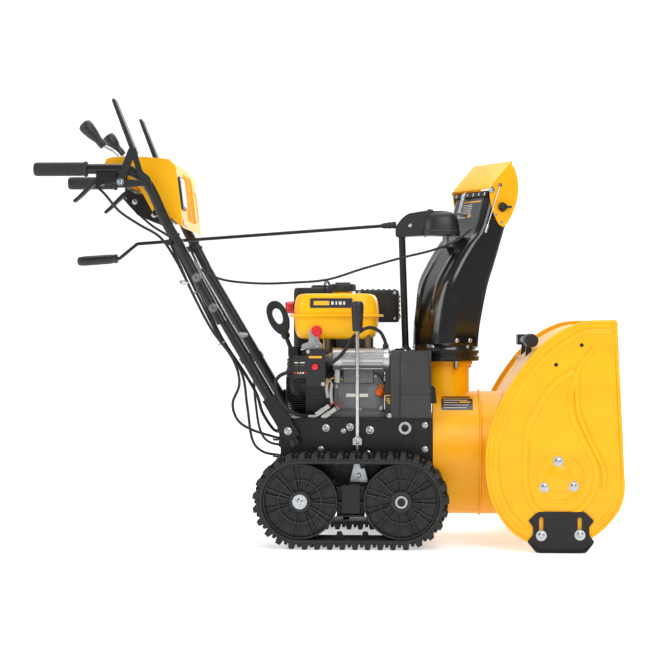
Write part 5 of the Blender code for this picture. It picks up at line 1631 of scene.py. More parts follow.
@dataclass
class Engine:
    """The engine with its starters, tank, intake, exhaust guard, switch box and wiring."""

    crank_z: float = 0.405

    def build(self) -> None:
        """Make every piece of the engine."""
        self.crankcase()
        self.starter()
        self.recoil()
        self.pull_handle()
        self.tank()
        self.cap()
        self.exhaust()
        self.intake()
        self.switch_box()
        self.throttle()
        self.wiring()

    def crankcase(self) -> None:
        """The casting: its cover with perimeter bolts, ribs, feet, cylinder fins and oil cap."""
        shape = Shape().cad("engine_block", CRANKCASE)
        outline = rounded(mm((18, 334), (144, 334), (148, 402), (128, 430), (40, 430), (18, 406)), 0.014)
        shape.plate(outline, "XZ", -0.102, -0.083, CRANKCASE)
        inner = outline.mean(axis=0) + (outline - outline.mean(axis=0)) * 0.86
        shape.plate(inner, "XZ", -0.106, -0.1, CRANKCASE)
        for x in (0.03, 0.128):
            shape.block((x - 0.002, -0.1085, 0.342), (x + 0.002, -0.1, 0.42), CRANKCASE)
        shape.block((0.03, -0.1085, 0.401), (0.13, -0.1, 0.405), CRANKCASE)
        for x, z in mm((25, 342), (82, 340), (138, 342), (140, 396), (121, 423), (82, 425), (44, 423),
                (24, 398)):
            shape.bolt((x, -0.102, z), RIGHT, 0.0048, ALUMINIUM)
        for x in (-0.004, 0.15):
            for side in (-1.0, 1.0):
                near, far = sorted((side * 0.07, side * 0.118))
                shape.block((x - 0.012, near, 0.3195), (x + 0.024, far, 0.329), CRANKCASE, 0.006)
            for side in (-1.0, 1.0):
                shape.bolt((x + 0.004, side * 0.106, 0.329), UP, 0.006)
        shape.block((0.01, -0.115, 0.3195), (0.15, -0.083, 0.334), CRANKCASE, 0.005)
        for number in range(8):
            z = 0.38 + 0.0125 * number
            shape.block((0.02, 0.085, z), (0.144, 0.164, z + 0.003), CRANKCASE, 0.01)
        shape.block((0.03, 0.16, 0.382), (0.134, 0.172, 0.482), ALUMINIUM, 0.006)
        for x, z in mm((38, 390), (126, 390), (38, 474), (126, 474)):
            shape.bolt((x, 0.172, z), LEFT, 0.0048)
        shape.build("ribbed_crankcase", "machine", "cast_iron", ["engine_block"], bevel=0.0016)
        plate = Shape()
        plate.plate(slim(0.056, 0.0085) + (0.0765, 0.375), "XZ", -0.1075, -0.1055, PRINT)
        plate.plate(slim(0.044, 0.003) + (0.0765, 0.414), "XZ", -0.1072, -0.1055, FILM)
        plate.build("engine_plate", "machine", "yellow_plastic", bevel=0.0004)
        cap = Shape()
        place = np.array([0.136, -0.102, 0.38])
        tilt = np.array([0.1, -0.62, 0.55])
        cap.turned(mm((-20, 0), (-20, 10), (2, 9.5)), place, tilt, CRANKCASE, steps=28)
        cap.turned(mm((2, 0), (2, 12.5), (3.5, 13.5), (8.5, 13.2), (10.5, 11), (10.5, 0)), place, tilt,
            ORANGE, steps=28)
        across, up, along = basis(tilt)
        tab = rounded(mm((-3, -12.5), (3, -12.5), (4.5, 17), (-4.5, 17)), 0.002)
        rise = np.array([0.009, 0.019])[:, None, None]
        cap.loft(place + tab[None, :, :1] * across + tab[None, :, 1:] * up + rise * along, ORANGE)
        cap.build("oil_filler", "machine", "cast_iron", bevel=0.0006)

    def starter(self) -> None:
        """The electric starter: a fluted body between two smooth caps, on its foot.

        The body's radius drops by 3 mm in nine flutes round the axis.
        """
        shape = Shape()
        place = np.array([0.0, -0.128, 0.468])
        angle = circle(128)
        groove = np.clip(np.cos(angle * 9) * 4.0 - 2.8, 0.0, 1.0)
        x = np.array([0.04, 0.0402, 0.143, 0.1432])
        size = np.array([0.9, 1.0, 1.0, 0.9])
        radius = size[:, None] * (0.0282 - 0.003 * groove[None, :])
        shape.loft(rings(radius, place[1:], x, "YZ"), ALUMINIUM)
        shape.turned(mm((142.5, 0), (142.5, 27.5), (144, 28.8), (156, 28.8), (160, 26.8), (162, 20),
            (162, 0)), place, AHEAD, ALUMINIUM, steps=48)
        shape.turned(mm((-2, 0), (-2, 12), (4, 16.5), (12, 18), (16, 28.5), (30, 30), (40, 29), (41, 24),
            (41, 0)), place, AHEAD, ALUMINIUM, steps=48)
        shape.block((0.018, -0.13, 0.408), (0.034, -0.086, 0.456), ALUMINIUM, 0.004)
        shape.block((0.04, -0.118, 0.408), (0.12, -0.0856, 0.45), CRANKCASE, 0.006)
        for x in (0.052, 0.07, 0.088, 0.106):
            shape.block((x, -0.1205, 0.411), (x + 0.004, -0.116, 0.442), CRANKCASE)
        for z in (0.493, 0.443):
            shape.screw((0.0165, place[1], z), BACK, 0.005)
        for y, z in ((-0.147, 0.48), (-0.109, 0.456)):
            shape.screw((0.1612, y, z), AHEAD, 0.0042)
        shape.turned(mm((0, 7.8), (10, 7.8), (11, 6), (16, 4.5), (16, 0)), (0.15, -0.129, 0.495), UP,
            SOFT_RUBBER, steps=20)
        shape.build("fluted_starter", "machine", "cast_aluminium", ["starter_motor"], bevel=0.0006)

    def recoil(self) -> None:
        """The fan housing: a turned shell with louvres round its rim and vanes on its back."""
        shape = Shape()
        centre = (0.0, 0.0, self.crank_z)
        shape.turned(mm((14, 81), (14, 85), (-60, 85), (-78, 83), (-93, 78.5), (-103, 72), (-107, 64),
            (-107, 25), (-102, 22), (-102, 64), (-96, 71), (-82, 77), (-60, 81)), centre, AHEAD, ABS,
            steps=96, ring=True)
        for number in range(40):
            angle = number * math.tau / 40
            out = np.array([0.0, math.cos(angle), math.sin(angle)])
            across = np.array([0.0, -math.sin(angle), math.cos(angle)])
            rows = []
            for x, reach in ((-0.101, 0.07), (-0.088, 0.0815), (-0.06, 0.0868), (-0.03, 0.0868)):
                spot = np.array(centre) + np.array([x, 0.0, 0.0]) + out * reach
                rows.append([spot - across * 0.0016 - out * 0.004, spot + across * 0.0016 - out * 0.004,
                    spot + across * 0.0011, spot - across * 0.0011])
            shape.loft(np.array(rows), ABS)
        for number in range(20):
            turn = number * math.tau / 20 + np.linspace(0.0, 0.35, 8)
            reach = np.linspace(0.03, 0.064, 8)
            path = np.stack([np.full(8, -0.107), reach * np.cos(turn), self.crank_z + reach * np.sin(turn)],
                axis=1)
            shape.tube(path, 0.002, ABS, sides=8)
        shape.turned(mm((-105, 0), (-105, 27), (-108.5, 26.2), (-111, 24), (-111, 0)), centre, AHEAD, ABS,
            steps=48)
        for turn in (0.5, 2.1, 3.7, 5.2):
            shape.bolt((-0.1055, 0.068 * math.cos(turn), self.crank_z + 0.068 * math.sin(turn)), BACK,
                0.0048)
        shape.block((-0.106, -0.044, 0.473), (-0.074, -0.002, 0.499), ABS, 0.008)
        shape.build("louvred_fan_housing", "machine", "black_plastic", ["recoil_housing"], bevel=0.0008)
        shroud = Shape()
        outline = rounded(mm((-96, 320), (96, 320), (96, 430), (70, 486), (-70, 486), (-96, 430)), 0.014)
        hole = ellipse(0.163, 0.163, 48)[::-1] + (0.0, self.crank_z)
        shroud.plate(outline, "YZ", -0.056, 0.018, ABS, [hole])
        for z in np.linspace(0.336, 0.37, 4):
            shroud.block((-0.05, -0.0985, z), (-0.006, -0.094, z + 0.004), ABS)
        for z in np.arange(0.342, 0.418, 0.0058):
            shroud.block((-0.1075, -0.076, z), (-0.056, -0.05, z + 0.0026), ABS)
        shroud.block((-0.1085, -0.074, 0.338), (-0.105, -0.05, 0.42), ABS)
        for x, z in mm((-48, 410), (8, 410), (8, 330)):
            shroud.screw((x, -0.096, z), RIGHT, 0.0048)
        shroud.build("blower_shroud", "machine", "black_plastic", bevel=0.002)

    def pull_handle(self) -> None:
        """The D shaped handle of the starter rope on its short slanting stem."""
        shape = Shape()
        foot = np.array([-0.1024, -0.022, 0.5008])
        slant = np.array([-0.376, 0.0, 0.927])
        slant = unit(slant)
        front = np.array([slant[2], 0.0, -slant[0]])
        side = np.array([0.0, 1.0, 0.0])
        shape.tube(np.linspace(foot - slant * 0.021, foot + slant * 0.046, 6), 0.0058, ABS, sides=16)
        shape.turned(mm((20, 5.8), (22, 10.5), (30, 12), (38, 10), (46, 7.5)), foot, slant, ABS, steps=28)
        outer = curve(mm((-11, 36), (-24, 60), (-26.5, 86), (-21.5, 110), (-9, 123.5), (9, 123.5),
            (21.5, 110), (26.5, 86), (24, 60), (11, 36)), 60, True)
        hole = curve(mm((-5, 64), (-11, 77), (-11, 94), (-4.5, 103), (4.5, 103), (11, 94), (11, 77),
            (5, 64)), 60, True)
        rings = []
        for loop, depth in ((outer, -0.006), (outer, 0.006), (hole, 0.0075), (hole, -0.0075)):
            rings.append(foot + loop[:, :1] * front + loop[:, 1:] * slant + depth * side)
        shape.grid(np.stack(rings), ABS, wrap_u=True, wrap_v=True)
        shape.build("d_handle", "recoil", "black_plastic", ["recoil_handle"], bevel=0.003, smooth=50.0)
        rope = Shape()
        start, end = foot - slant * 0.03, foot + slant * 0.018
        rope.tube(np.linspace(start, end, 30), 0.0022, NYLON, sides=10)
        thing = rope.build("starter_rope", "machine", "black_rubber")
        stretch(thing, "machine", "recoil", start, end)

    def tank(self) -> None:
        """The fuel tank: two soft cornered halves, the seam flange, the neck and the film on its side."""
        shape = Shape()
        z = np.array([0.519, 0.5205, 0.526, 0.54, 0.558, 0.577, 0.598, 0.616, 0.626, 0.632, 0.635, 0.6358])
        grow = np.array([0.72, 0.84, 0.92, 0.968, 0.988, 1.0, 0.995, 0.975, 0.945, 0.9, 0.82, 0.72])
        shape.loft(soft_box((0.021, -0.025), (0.109 * grow, 0.1 * (grow * 0.6 + 0.4)), z, 0.36), TANK)
        flange = np.array([0.5765, 0.5772, 0.58, 0.582, 0.5825])
        rim = np.array([0.99, 1.0, 1.0, 0.996, 0.98])
        shape.loft(soft_box((0.022, -0.029), (0.12 * rim, 0.106 * rim), flange, 0.34), TANK)
        shape.turned(mm((625, 29), (636.5, 27), (641.5, 25), (641.5, 0)), (0.037, -0.03, 0), UP, TANK,
            steps=48)
        for x in (-0.06, 0.105):
            shape.block((x - 0.012, 0.07, 0.569), (x + 0.012, 0.078, 0.59), TANK, 0.003)
        shape.build("seamed_tank", "machine", "yellow_plastic", ["fuel_tank"])
        film = Shape()
        face = -0.1255
        film.plate(rounded(slim(0.108, 0.0245) + (0.011, 0.611), 0.002), "XZ", face - 0.001, face + 0.004,
            FILM)
        film.plate(slim(0.04, 0.011) + (-0.014, 0.611), "XZ", face - 0.0015, face, GOLD_PRINT)
        for number, width in enumerate((0.006, 0.004, 0.007, 0.005)):
            film.plate(slim(width, 0.0085) + (0.014 + 0.01 * number, 0.611), "XZ", face - 0.0015, face,
                PRINT)
        film.build("tank_film", "machine", "yellow_plastic", bevel=0.0003)
        hook = Shape()
        for y in (-0.062, 0.01):
            path = curve([(-0.012, y, 0.633), (-0.01, y, 0.66), (-0.004, y, 0.67), (0.002, y, 0.658),
                (0.004, y, 0.633)], 30)
            hook.tube(path, 0.0016, BLACK, sides=10)
        hook.build("cable_hooks", "machine", "black_paint")

    def cap(self) -> None:
        """The screw cap: its rim is scalloped, radius plus a small cosine, thirty two times round."""
        shape = Shape()
        angle = circle(192)
        level = np.array([0.6425, 0.643, 0.658, 0.6608, 0.6618, 0.6618, 0.66, 0.66])
        size = np.array([0.0325, 0.0338, 0.0338, 0.0325, 0.03, 0.024, 0.0225, 0.0])
        ripple = np.array([0.0, 1.0, 1.0, 0.3, 0.0, 0.0, 0.0, 0.0])
        radius = size[:, None] + 0.0006 * ripple[:, None] * np.cos(32 * angle)[None, :]
        shape.loft(rings(radius, (0.037, -0.03), level, "XY"), ABS)
        shape.plate(rounded(slim(0.04, 0.01) + (0.037, -0.03), 0.004), "XY", 0.659, 0.666, ABS)
        shape.build("scalloped_cap", "cap", "black_plastic", ["fuel_cap"], bevel=0.0008, smooth=30.0)

    def exhaust(self) -> None:
        """The exhaust guard: a rounded box with louvres on its faces, over the pipe."""
        shape = Shape()
        z = np.array([0.562, 0.5635, 0.57, 0.635, 0.644, 0.648, 0.649])
        grow = np.array([0.9, 0.965, 1.0, 1.0, 0.985, 0.955, 0.88])
        shape.loft(soft_box((0.1235, 0.125), (0.0595 * grow, 0.04 * grow), z, 0.3), HEAT_BLACK)
        for number in range(7):
            x = 0.08 + 0.0145 * number
            shape.block((x, 0.094, 0.648), (x + 0.006, 0.156, 0.6515), HEAT_BLACK, 0.002)
            for face in (0.0842, 0.1628):
                shape.block((x, face, 0.58), (x + 0.0055, face + 0.003, 0.632), HEAT_BLACK)
        for z in np.linspace(0.58, 0.628, 5):
            shape.block((0.182, 0.1, z), (0.1848, 0.15, z + 0.005), HEAT_BLACK)
        shape.turned(mm((490.3, 0), (490.3, 19), (495, 19), (496, 13), (570, 13)), (0.1, 0.12, 0), UP,
            HEAT_BLACK, steps=32)
        shape.turned(mm((0, 10.5), (14, 10.5), (14, 8.5), (0, 8.5)), (0.17, 0.15, 0.58), (0.5, 0.8, -0.2),
            HEAT_BLACK, steps=28, ring=True)
        for x, z in mm((76, 572), (170, 572), (76, 640), (170, 640)):
            shape.screw((x, 0.085, z), RIGHT, 0.0045)
        shape.build("louvred_exhaust_guard", "machine", "black_paint", ["muffler"], bevel=0.0008)

    def intake(self) -> None:
        """The intake heater box: a ribbed moulding with a knurled cap and the choke's collar."""
        shape = Shape()
        z = np.array([0.4903, 0.492, 0.5, 0.638, 0.648, 0.6535, 0.655])
        grow = np.array([0.93, 0.975, 1.0, 1.0, 0.985, 0.955, 0.9])
        shape.loft(soft_box((-0.03, 0.118), (0.07 * grow, 0.04 * grow), z, 0.26), ABS)
        for number in range(5):
            x = -0.076 + 0.023 * number
            shape.block((x, 0.156, 0.51), (x + 0.003, 0.1605, 0.63), ABS)
        shape.turned(mm((653, 0), (653, 23), (660, 22.5), (662.5, 19), (662.5, 0)), (-0.03, 0.118, 0), UP,
            ABS, steps=48)
        for turn in circle(24):
            shape.tube([(-0.03 + 0.0228 * math.cos(turn), 0.118 + 0.0228 * math.sin(turn), height)
                for height in (0.654, 0.66)], 0.0014, ABS, sides=6)
        shape.turned(mm((-99, 0), (-99, 21.5), (-100, 21.5), (-100.2, 0)), (0, 0.118, 0.602), AHEAD, ABS,
            steps=48)
        for x, z in mm((-88, 505), (26, 505), (-88, 636), (26, 636)):
            shape.screw((x, 0.158, z), LEFT, 0.0045)
        shape.build("ribbed_intake_box", "machine", "black_plastic", ["intake_cover"], bevel=0.0008)
        knob = Shape()
        angle = circle(120)
        along = np.array([-0.1003, -0.101, -0.115, -0.119, -0.12, -0.12])
        size = np.array([0.015, 0.0168, 0.016, 0.014, 0.011, 0.0])
        radius = size[:, None] * (1 + 0.035 * np.cos(10 * angle)[None, :])
        knob.loft(rings(radius, (0.118, 0.602), along, "YZ"), RED)
        knob.plate(rounded(mm((-124, 587), (-110, 587), (-110, 617), (-124, 617)), 0.004), "XZ", 0.1155,
            0.1205, RED)
        knob.build("scalloped_choke_knob", "choke", "red_plastic", ["choke_knob"], bevel=0.001)

    def switch_box(self) -> None:
        """The electric starter's switch box with its frame, marks, screws and button."""
        shape = Shape()
        outline = rounded(mm((-85, 422), (-49, 422), (-49, 400), (-2, 400), (-2, 494), (-49, 494),
            (-49, 476), (-85, 476)), 0.005)
        hole = ellipse(0.0185, 0.0185, 40)[::-1] + (-0.027, 0.449)
        shape.plate(outline, "XZ", -0.185, -0.145, ABS, [hole])
        shape.turned(mm((145, 9.3), (145, 0), (176, 0), (176, 9.3)), (-0.027, 0, 0.449), RIGHT, ABS,
            steps=32)
        shape.block((-0.04, -0.15, 0.43), (0.0, -0.096, 0.45), ABS, 0.003)
        shape.screw((-0.045, -0.185, 0.488), RIGHT, 0.0048, NYLON)
        shape.screw((-0.007, -0.185, 0.406), RIGHT, 0.0052, NYLON)
        shape.turned(mm((0, 9), (6, 8.5), (16, 7), (18, 4.8)), (-0.084, -0.165, 0.44), (-0.9, 0, -0.35),
            SOFT_RUBBER, steps=24)
        shape.build("switch_housing", "machine", "black_plastic", ["starter_box"], bevel=0.0018)
        marks = Shape()
        low, high = -0.1856, -0.1845
        marks.plate(rounded(slim(0.033, 0.0052) + (-0.0265, 0.474), 0.001), "XZ", low, high, GOLD_PRINT)
        for number in range(5):
            marks.plate(ellipse(0.0042, 0.0042, 12) + (-0.077 + 0.0066 * number, 0.434), "XZ", low, high,
                (RED, GOLD_PRINT, PRINT, PRINT, RED)[number])
        for x, width in ((-0.074, 0.01), (-0.059, 0.012)):
            marks.plate(slim(width, 0.0022) + (x, 0.46), "XZ", low, high, PRINT)
            marks.plate(slim(width * 0.7, 0.0022) + (x, 0.453), "XZ", low, high, PHENOLIC)
        marks.build("switch_marks", "machine", "yellow_plastic")
        button = Shape()
        button.turned(mm((181.2, 0), (181.2, 8.2), (189, 8.2), (190.5, 7), (191.2, 3.5), (191.4, 0)),
            (-0.027, 0, 0.449), RIGHT, RED, steps=36)
        button.build("domed_button", "button", "red_plastic", ["start_button"])

    def throttle(self) -> None:
        """The throttle's plated bracket and its arm with the round red knob."""
        bracket = Shape()
        outline = rounded(mm((-64, 495), (-10, 495), (-10, 506), (-18, 512), (-18, 542), (-32, 548),
            (-46, 542), (-46, 512), (-64, 506)), 0.004)
        bracket.plate(outline, "XZ", -0.1385, -0.137, ALUMINIUM)
        bracket.block((-0.064, -0.1385, 0.4935), (-0.01, -0.115, 0.495), ALUMINIUM)
        bracket.build("throttle_bracket", "machine", "cast_aluminium", bevel=0.0006)
        shape = Shape()
        x, z = -0.025, 0.54
        arm = rounded(mm((-30, 493.5), (-20, 493.5), (-20.5, 535), (-29.5, 535)), 0.003)
        shape.plate(arm, "XZ", -0.1435, -0.1405, ZINC)
        shape.turned(mm((140, 0), (140, 13), (141.5, 14), (149, 13.8), (151, 11.5), (151, 0)), (x, 0, z),
            RIGHT, RED, steps=40)
        grip = rounded([(x - 0.005, z + 0.01), (x + 0.005, z + 0.01), (x + 0.009, z - 0.012),
            (x + 0.007, z - 0.026), (x + 0.002, z - 0.012)], 0.003)
        shape.plate(grip, "XZ", -0.1535, -0.142, RED)
        shape.bolt((-0.025, -0.1435, 0.498), RIGHT, 0.0036)
        shape.build("throttle_arm", "throttle", "red_plastic", ["throttle_lever"], bevel=0.0009)

    def wiring(self) -> None:
        """The starter's lead, the harness with its connectors, thin wires and the fuel hose."""
        lead = Shape()
        path = curve(mm((-2, -164, 456), (16, -170, 460), (45, -168, 488), (70, -164, 526),
            (105, -156, 548), (133, -145, 540), (146, -133, 520), (150, -129, 506)), 60)
        lead.tube(path, 0.0046, SOFT_RUBBER, sides=16)
        lead.build("starter_lead", "machine", "black_rubber")
        harness = Shape()
        path = curve(mm((-96, -165, 436), (-118, -166, 426), (-129, -168, 406), (-118, -184, 370),
            (-96, -183, 342), (-68, -170, 327), (-38, -145, 323.5), (-20, -143, 326)), 60)
        harness.tube(path, 0.0048, SOFT_RUBBER, sides=14)
        second = curve(mm((-50, -120, 324), (-70, -156, 325), (-88, -170, 322), (-52, -156, 323.5),
            (-26, -148, 323)), 40)
        harness.tube(second, 0.0032, NYLON, sides=12)
        harness.build("harness", "machine", "black_rubber")
        plug = Shape()
        for middle, length in (((-0.01, -0.146, 0.338), 0.04), ((0.006, -0.144, 0.33), 0.042)):
            heading = np.array([0.82, 0.0, 0.57])
            start = np.array(middle) - heading * length / 2
            square = rounded(slim(0.0135, 0.012), 0.002, 3)
            side, up, along = basis(heading)
            step = np.array([0.0, 0.45, 0.46, 0.54, 0.55, 1.0]) * length
            size = np.array([1.0, 1.0, 1.16, 1.16, 0.92, 0.92])
            rows = start + step[:, None, None] * along + size[:, None, None] * (square[None, :, :1] * side
                + square[None, :, 1:] * up)
            plug.loft(rows, NYLON)
            tail = start + heading * length
            for shift in (-0.0028, 0.0028):
                plug.tube(curve([tail + side * shift, tail + heading * 0.014 + side * shift,
                    tail + heading * 0.024 + (0.0, 0.03, -0.002)], 14), 0.0011, RED, sides=8)
        plug.build("wire_connectors", "machine", "black_plastic", bevel=0.0005)
        thin = Shape()
        thin.tube(curve(mm((-12, -118, 530), (-8, -140, 515), (-6, -142, 488), (-1, -130, 462)), 26),
            0.0012, GOLD_PRINT, sides=8)
        thin.tube(curve(mm((-2, -130, 396), (8, -130, 416), (28, -122, 420), (44, -112, 412)), 26), 0.0016,
            GOLD_PRINT, sides=8)
        thin.build("thin_wires", "machine", "yellow_plastic")
        sleeve = Shape()
        for x, top, low in ((0.001, 0.418, 0.37), (0.012, 0.406, 0.354)):
            sleeve.tube(curve([(x, -0.124, top), (x - 0.002, -0.126, (top + low) / 2),
                (x + 0.001, -0.123, low)], 20), 0.0042, NYLON, sides=14)
            sleeve.tube(curve([(x + 0.001, -0.123, low + 0.002), (x + 0.006, -0.119, low - 0.018),
                (x + 0.01, -0.116, 0.336)], 16), 0.003, SOFT_RUBBER, sides=12)
        sleeve.build("wire_sleeves", "machine", "black_plastic")
        hose = Shape()
        hose.tube(curve(mm((10, -60, 522), (14, -90, 506), (5, -104, 490), (-6, -90, 470)), 30), 0.0042,
            SOFT_RUBBER, sides=14)
        hose.turned(mm((0, 13), (26, 13), (28, 10), (40, 10), (40, 0)), (-0.006, -0.085, 0.496),
            (0.75, -0.35, -0.5), PHENOLIC, steps=28)
        for x, top in ((0.0, 0.528), (0.104, 0.53)):
            hose.turned([(0.486, 0.008), (top - 0.012, 0.008), (top - 0.01, 0.0072), (top, 0.0072),
                (top, 0.0)], (x, -0.108, 0), UP, PHENOLIC, steps=28)
        hose.block((0.0, -0.085, 0.436), (0.018, -0.05, 0.498), IRON, 0.004)
        hose.build("carburettor_and_hose", "machine", "black_rubber", bevel=0.0008)


# ---------------------------------------------------------------- handlebars and controls


@dataclass
class Handlebars:
    """The steel bars with their join bolts, grips, presence levers and steering triggers."""

    def build(self) -> None:
        """Make both bars, then each side's grip, lever and trigger."""
        self.lower()
        for word, side in SIDES.items():
            self.upper(word, side)
            self.grip(word, side)
            self.clutch(word, side)
            self.trigger(word, side)

    def lower(self) -> None:
        """The lower bars with flattened feet, the brace, the big slotted bolts and the feet's plates."""
        shape = Shape()
        for side in (-1.0, 1.0):
            y = side * 0.1645
            path = curve([(-0.345, y, 0.712), (-0.25, y, 0.55), (-0.15, y, 0.38), (-0.112, y, 0.316),
                (-0.0745, y, 0.2525)], 40)
            shape.tube(path, 0.014, BLACK, sides=28)
            for x, z in mm((-325, 667), (-279, 590)):
                place = (x, side * 0.179, z)
                shape.turned(mm((-6, 10), (3, 10), (4, 8.2)), place, (0, side, 0), BLACK, steps=28)
                shape.bolt((x, side * 0.1825, z), (0, side, 0), 0.0068)
            place = np.array([-0.203, y, 0.47])
            heading = np.array([0.507, 0.0, -0.862])
            shape.turned(mm((-8, 14), (-8, 16.5), (8, 16.5), (8, 14)), place, heading, BLACK, steps=28)
            outline = rounded(mm((-122, 245), (-64, 245), (-64, 272), (-90, 310), (-118, 310)), 0.006)
            shape.flank(outline, side, 0.1502, 0.156, BLACK)
            top, foot = np.array([-0.144, 0.372]), np.array([-0.083, 0.268])
            aside = np.array([0.0168, 0.0099])
            channel = rounded([top - aside, foot - aside, foot + aside, top + aside], 0.004)
            shape.flank(channel, side, 0.1775, 0.1805, BLACK)
            for shift in (-0.92, 0.92):
                edge = [top + aside * (shift - 0.08), foot + aside * (shift - 0.08),
                    foot + aside * (shift + 0.08), top + aside * (shift + 0.08)]
                shape.flank(np.array(edge), side, 0.151, 0.18, BLACK)
            shape.bolt((-0.096, side * 0.1805, 0.287), (0, side, 0), 0.0078)
        shape.tube(np.linspace((-0.236, -0.164, 0.527), (-0.236, 0.164, 0.527), 8), 0.009, BLACK, sides=24)
        shape.build("lower_bars", "machine", "black_paint", ["lower_handlebar"])

    def upper(self, word: str, side: float) -> None:
        """One upper bar, flattened where it is bolted to the lower bar.

        Args:
            word: right or left.
            side: -1 or 1.
        """
        shape = Shape()
        points = mm((-262, 193, 560), (-342, 193, 706), (-372, 200, 762), (-402, 208, 815),
            (-437, 218, 893), (-462, 223.5, 927), (-497, 225, 944), (-540, 225, 947), (-630, 225, 947),
            (-725, 225, 947))
        path = curve([(x, side * y, z) for x, y, z in points], 110)
        shape.tube(path, 0.013, BLACK, sides=28)
        for x, z in mm((-325, 674), (-283, 598)):
            shape.turned(mm((-3, 12), (2.2, 11.6), (2.2, 0)), (x, side * 0.2055, z), (0, side, 0),
                CRANKCASE, steps=32)
            shape.screw((x, side * 0.2075, z), (0, side, 0), 0.0095, CRANKCASE)
        tab = rounded(mm((-523, 900), (-499, 900), (-496, 940), (-526, 940)), 0.005)
        shape.flank(tab, side, 0.22, 0.23, BLACK)
        shape.turned(mm((228, 0), (228, 4.5), (239, 4.5), (239, 0)), (-0.511, 0, 0.912), (0, side, 0), ZINC,
            steps=20)
        shape.build("upper_bar_" + word, "machine", "black_paint", ["upper_handlebar_" + word])
        clamp = Shape()
        heading = np.array([-0.5, side * 0.13, 0.86])
        heading = unit(heading)
        for shift in (-0.009, 0.009):
            place = np.array([-0.377, side * 0.201, 0.77]) + heading * shift
            clamp.turned(mm((-3.2, 13), (-3.2, 15.8), (3.2, 15.8), (3.2, 13)), place, heading, SOFT_RUBBER,
                steps=28)
        inner, outer = sorted((side * 0.196, side * 0.212))
        clamp.block((-0.404, inner, 0.756), (-0.386, outer, 0.77), ABS, 0.003)
        clamp.build("cable_clamp_" + word, "machine", "black_plastic")

    def grip(self, word: str, side: float) -> None:
        """One grip: moulded rubber with fine ribs, a flange in front and a rounded end.

        Args:
            word: right or left.
            side: -1 or 1.
        """
        rings = [*mm((-598, 13.1), (-598, 18.6), (-600, 19.6), (-604, 19.6), (-606, 18.4), (-608.5, 17.2))]
        start = -0.6105
        for number in range(21):
            x = start - number * 0.0054
            rings += [(x, 0.0164), (x - 0.0012, 0.0175), (x - 0.004, 0.0175), (x - 0.005, 0.0164)]
        rings += [*mm((-726, 17.2), (-731, 16), (-733, 13), (-733.5, 6), (-733.5, 0))]
        shape = Shape()
        shape.turned(rings, (0, side * 0.225, 0.947), AHEAD, SOFT_RUBBER, steps=40)
        shape.build("ribbed_grip_" + word, "machine", "black_rubber", ["grip_" + word], smooth=50.0)

    def clutch(self, word: str, side: float) -> None:
        """One presence lever: a stamped web on its pivot and a tapering blade.

        Args:
            word: right or left.
            side: -1 or 1.
        """
        shape = Shape()
        web = rounded(mm((-524, 908), (-506, 898), (-433, 905), (-436, 924), (-456, 940), (-473, 1000),
            (-490, 998)), 0.006)
        hollow = rounded(mm((-500, 920), (-462, 916), (-468, 932), (-480, 970)), 0.004)
        shape.flank(web, side, 0.2396, 0.2474, ABS, [hollow[::-1]])
        rows = []
        for along, thick in ((0.0, 1.0), (0.25, 0.95), (0.5, 0.86), (0.75, 0.78), (0.93, 0.7), (0.98, 0.55),
                (1.0, 0.3)):
            x, z = -0.4775 - 0.0535 * along, 0.986 + 0.1365 * along
            half = 0.024 * (1.0 - 0.1 * along) * (0.75 if along > 0.99 else 1.0)
            edge = rounded([(-0.0062 * thick, -half), (0.0062 * thick, -half), (0.0062 * thick, half),
                (-0.0062 * thick, half)], 0.0028 * thick, 4)
            middle = side * 0.2232
            rows.append(np.stack([x + edge[:, 0], middle + edge[:, 1], z + edge[:, 0] * 0.39], axis=1))
        shape.loft(np.array(rows), ABS)
        shape.turned(mm((-4, 0), (-4, 13.5), (5.5, 13.5), (5.5, 0)), (-0.511, side * 0.2435, 0.912),
            (0, side, 0), ABS, steps=32)
        shape.turned(mm((0, 10), (1.5, 9.8), (1.5, 7), (0.2, 6.5)), (-0.511, side * 0.249, 0.912),
            (0, side, 0), ZINC, steps=28)
        shape.bolt((-0.511, side * 0.2492, 0.912), (0, side, 0), 0.0052)
        shape.turned(mm((0, 5), (5.5, 5), (6.5, 3.5), (6.5, 0)), (-0.445, side * 0.2396, 0.915),
            (0, -side, 0), ZINC, steps=20)
        shape.build("presence_lever_" + word, "clutch_" + word, "black_plastic", ["clutch_lever_" + word],
            bevel=0.0014)

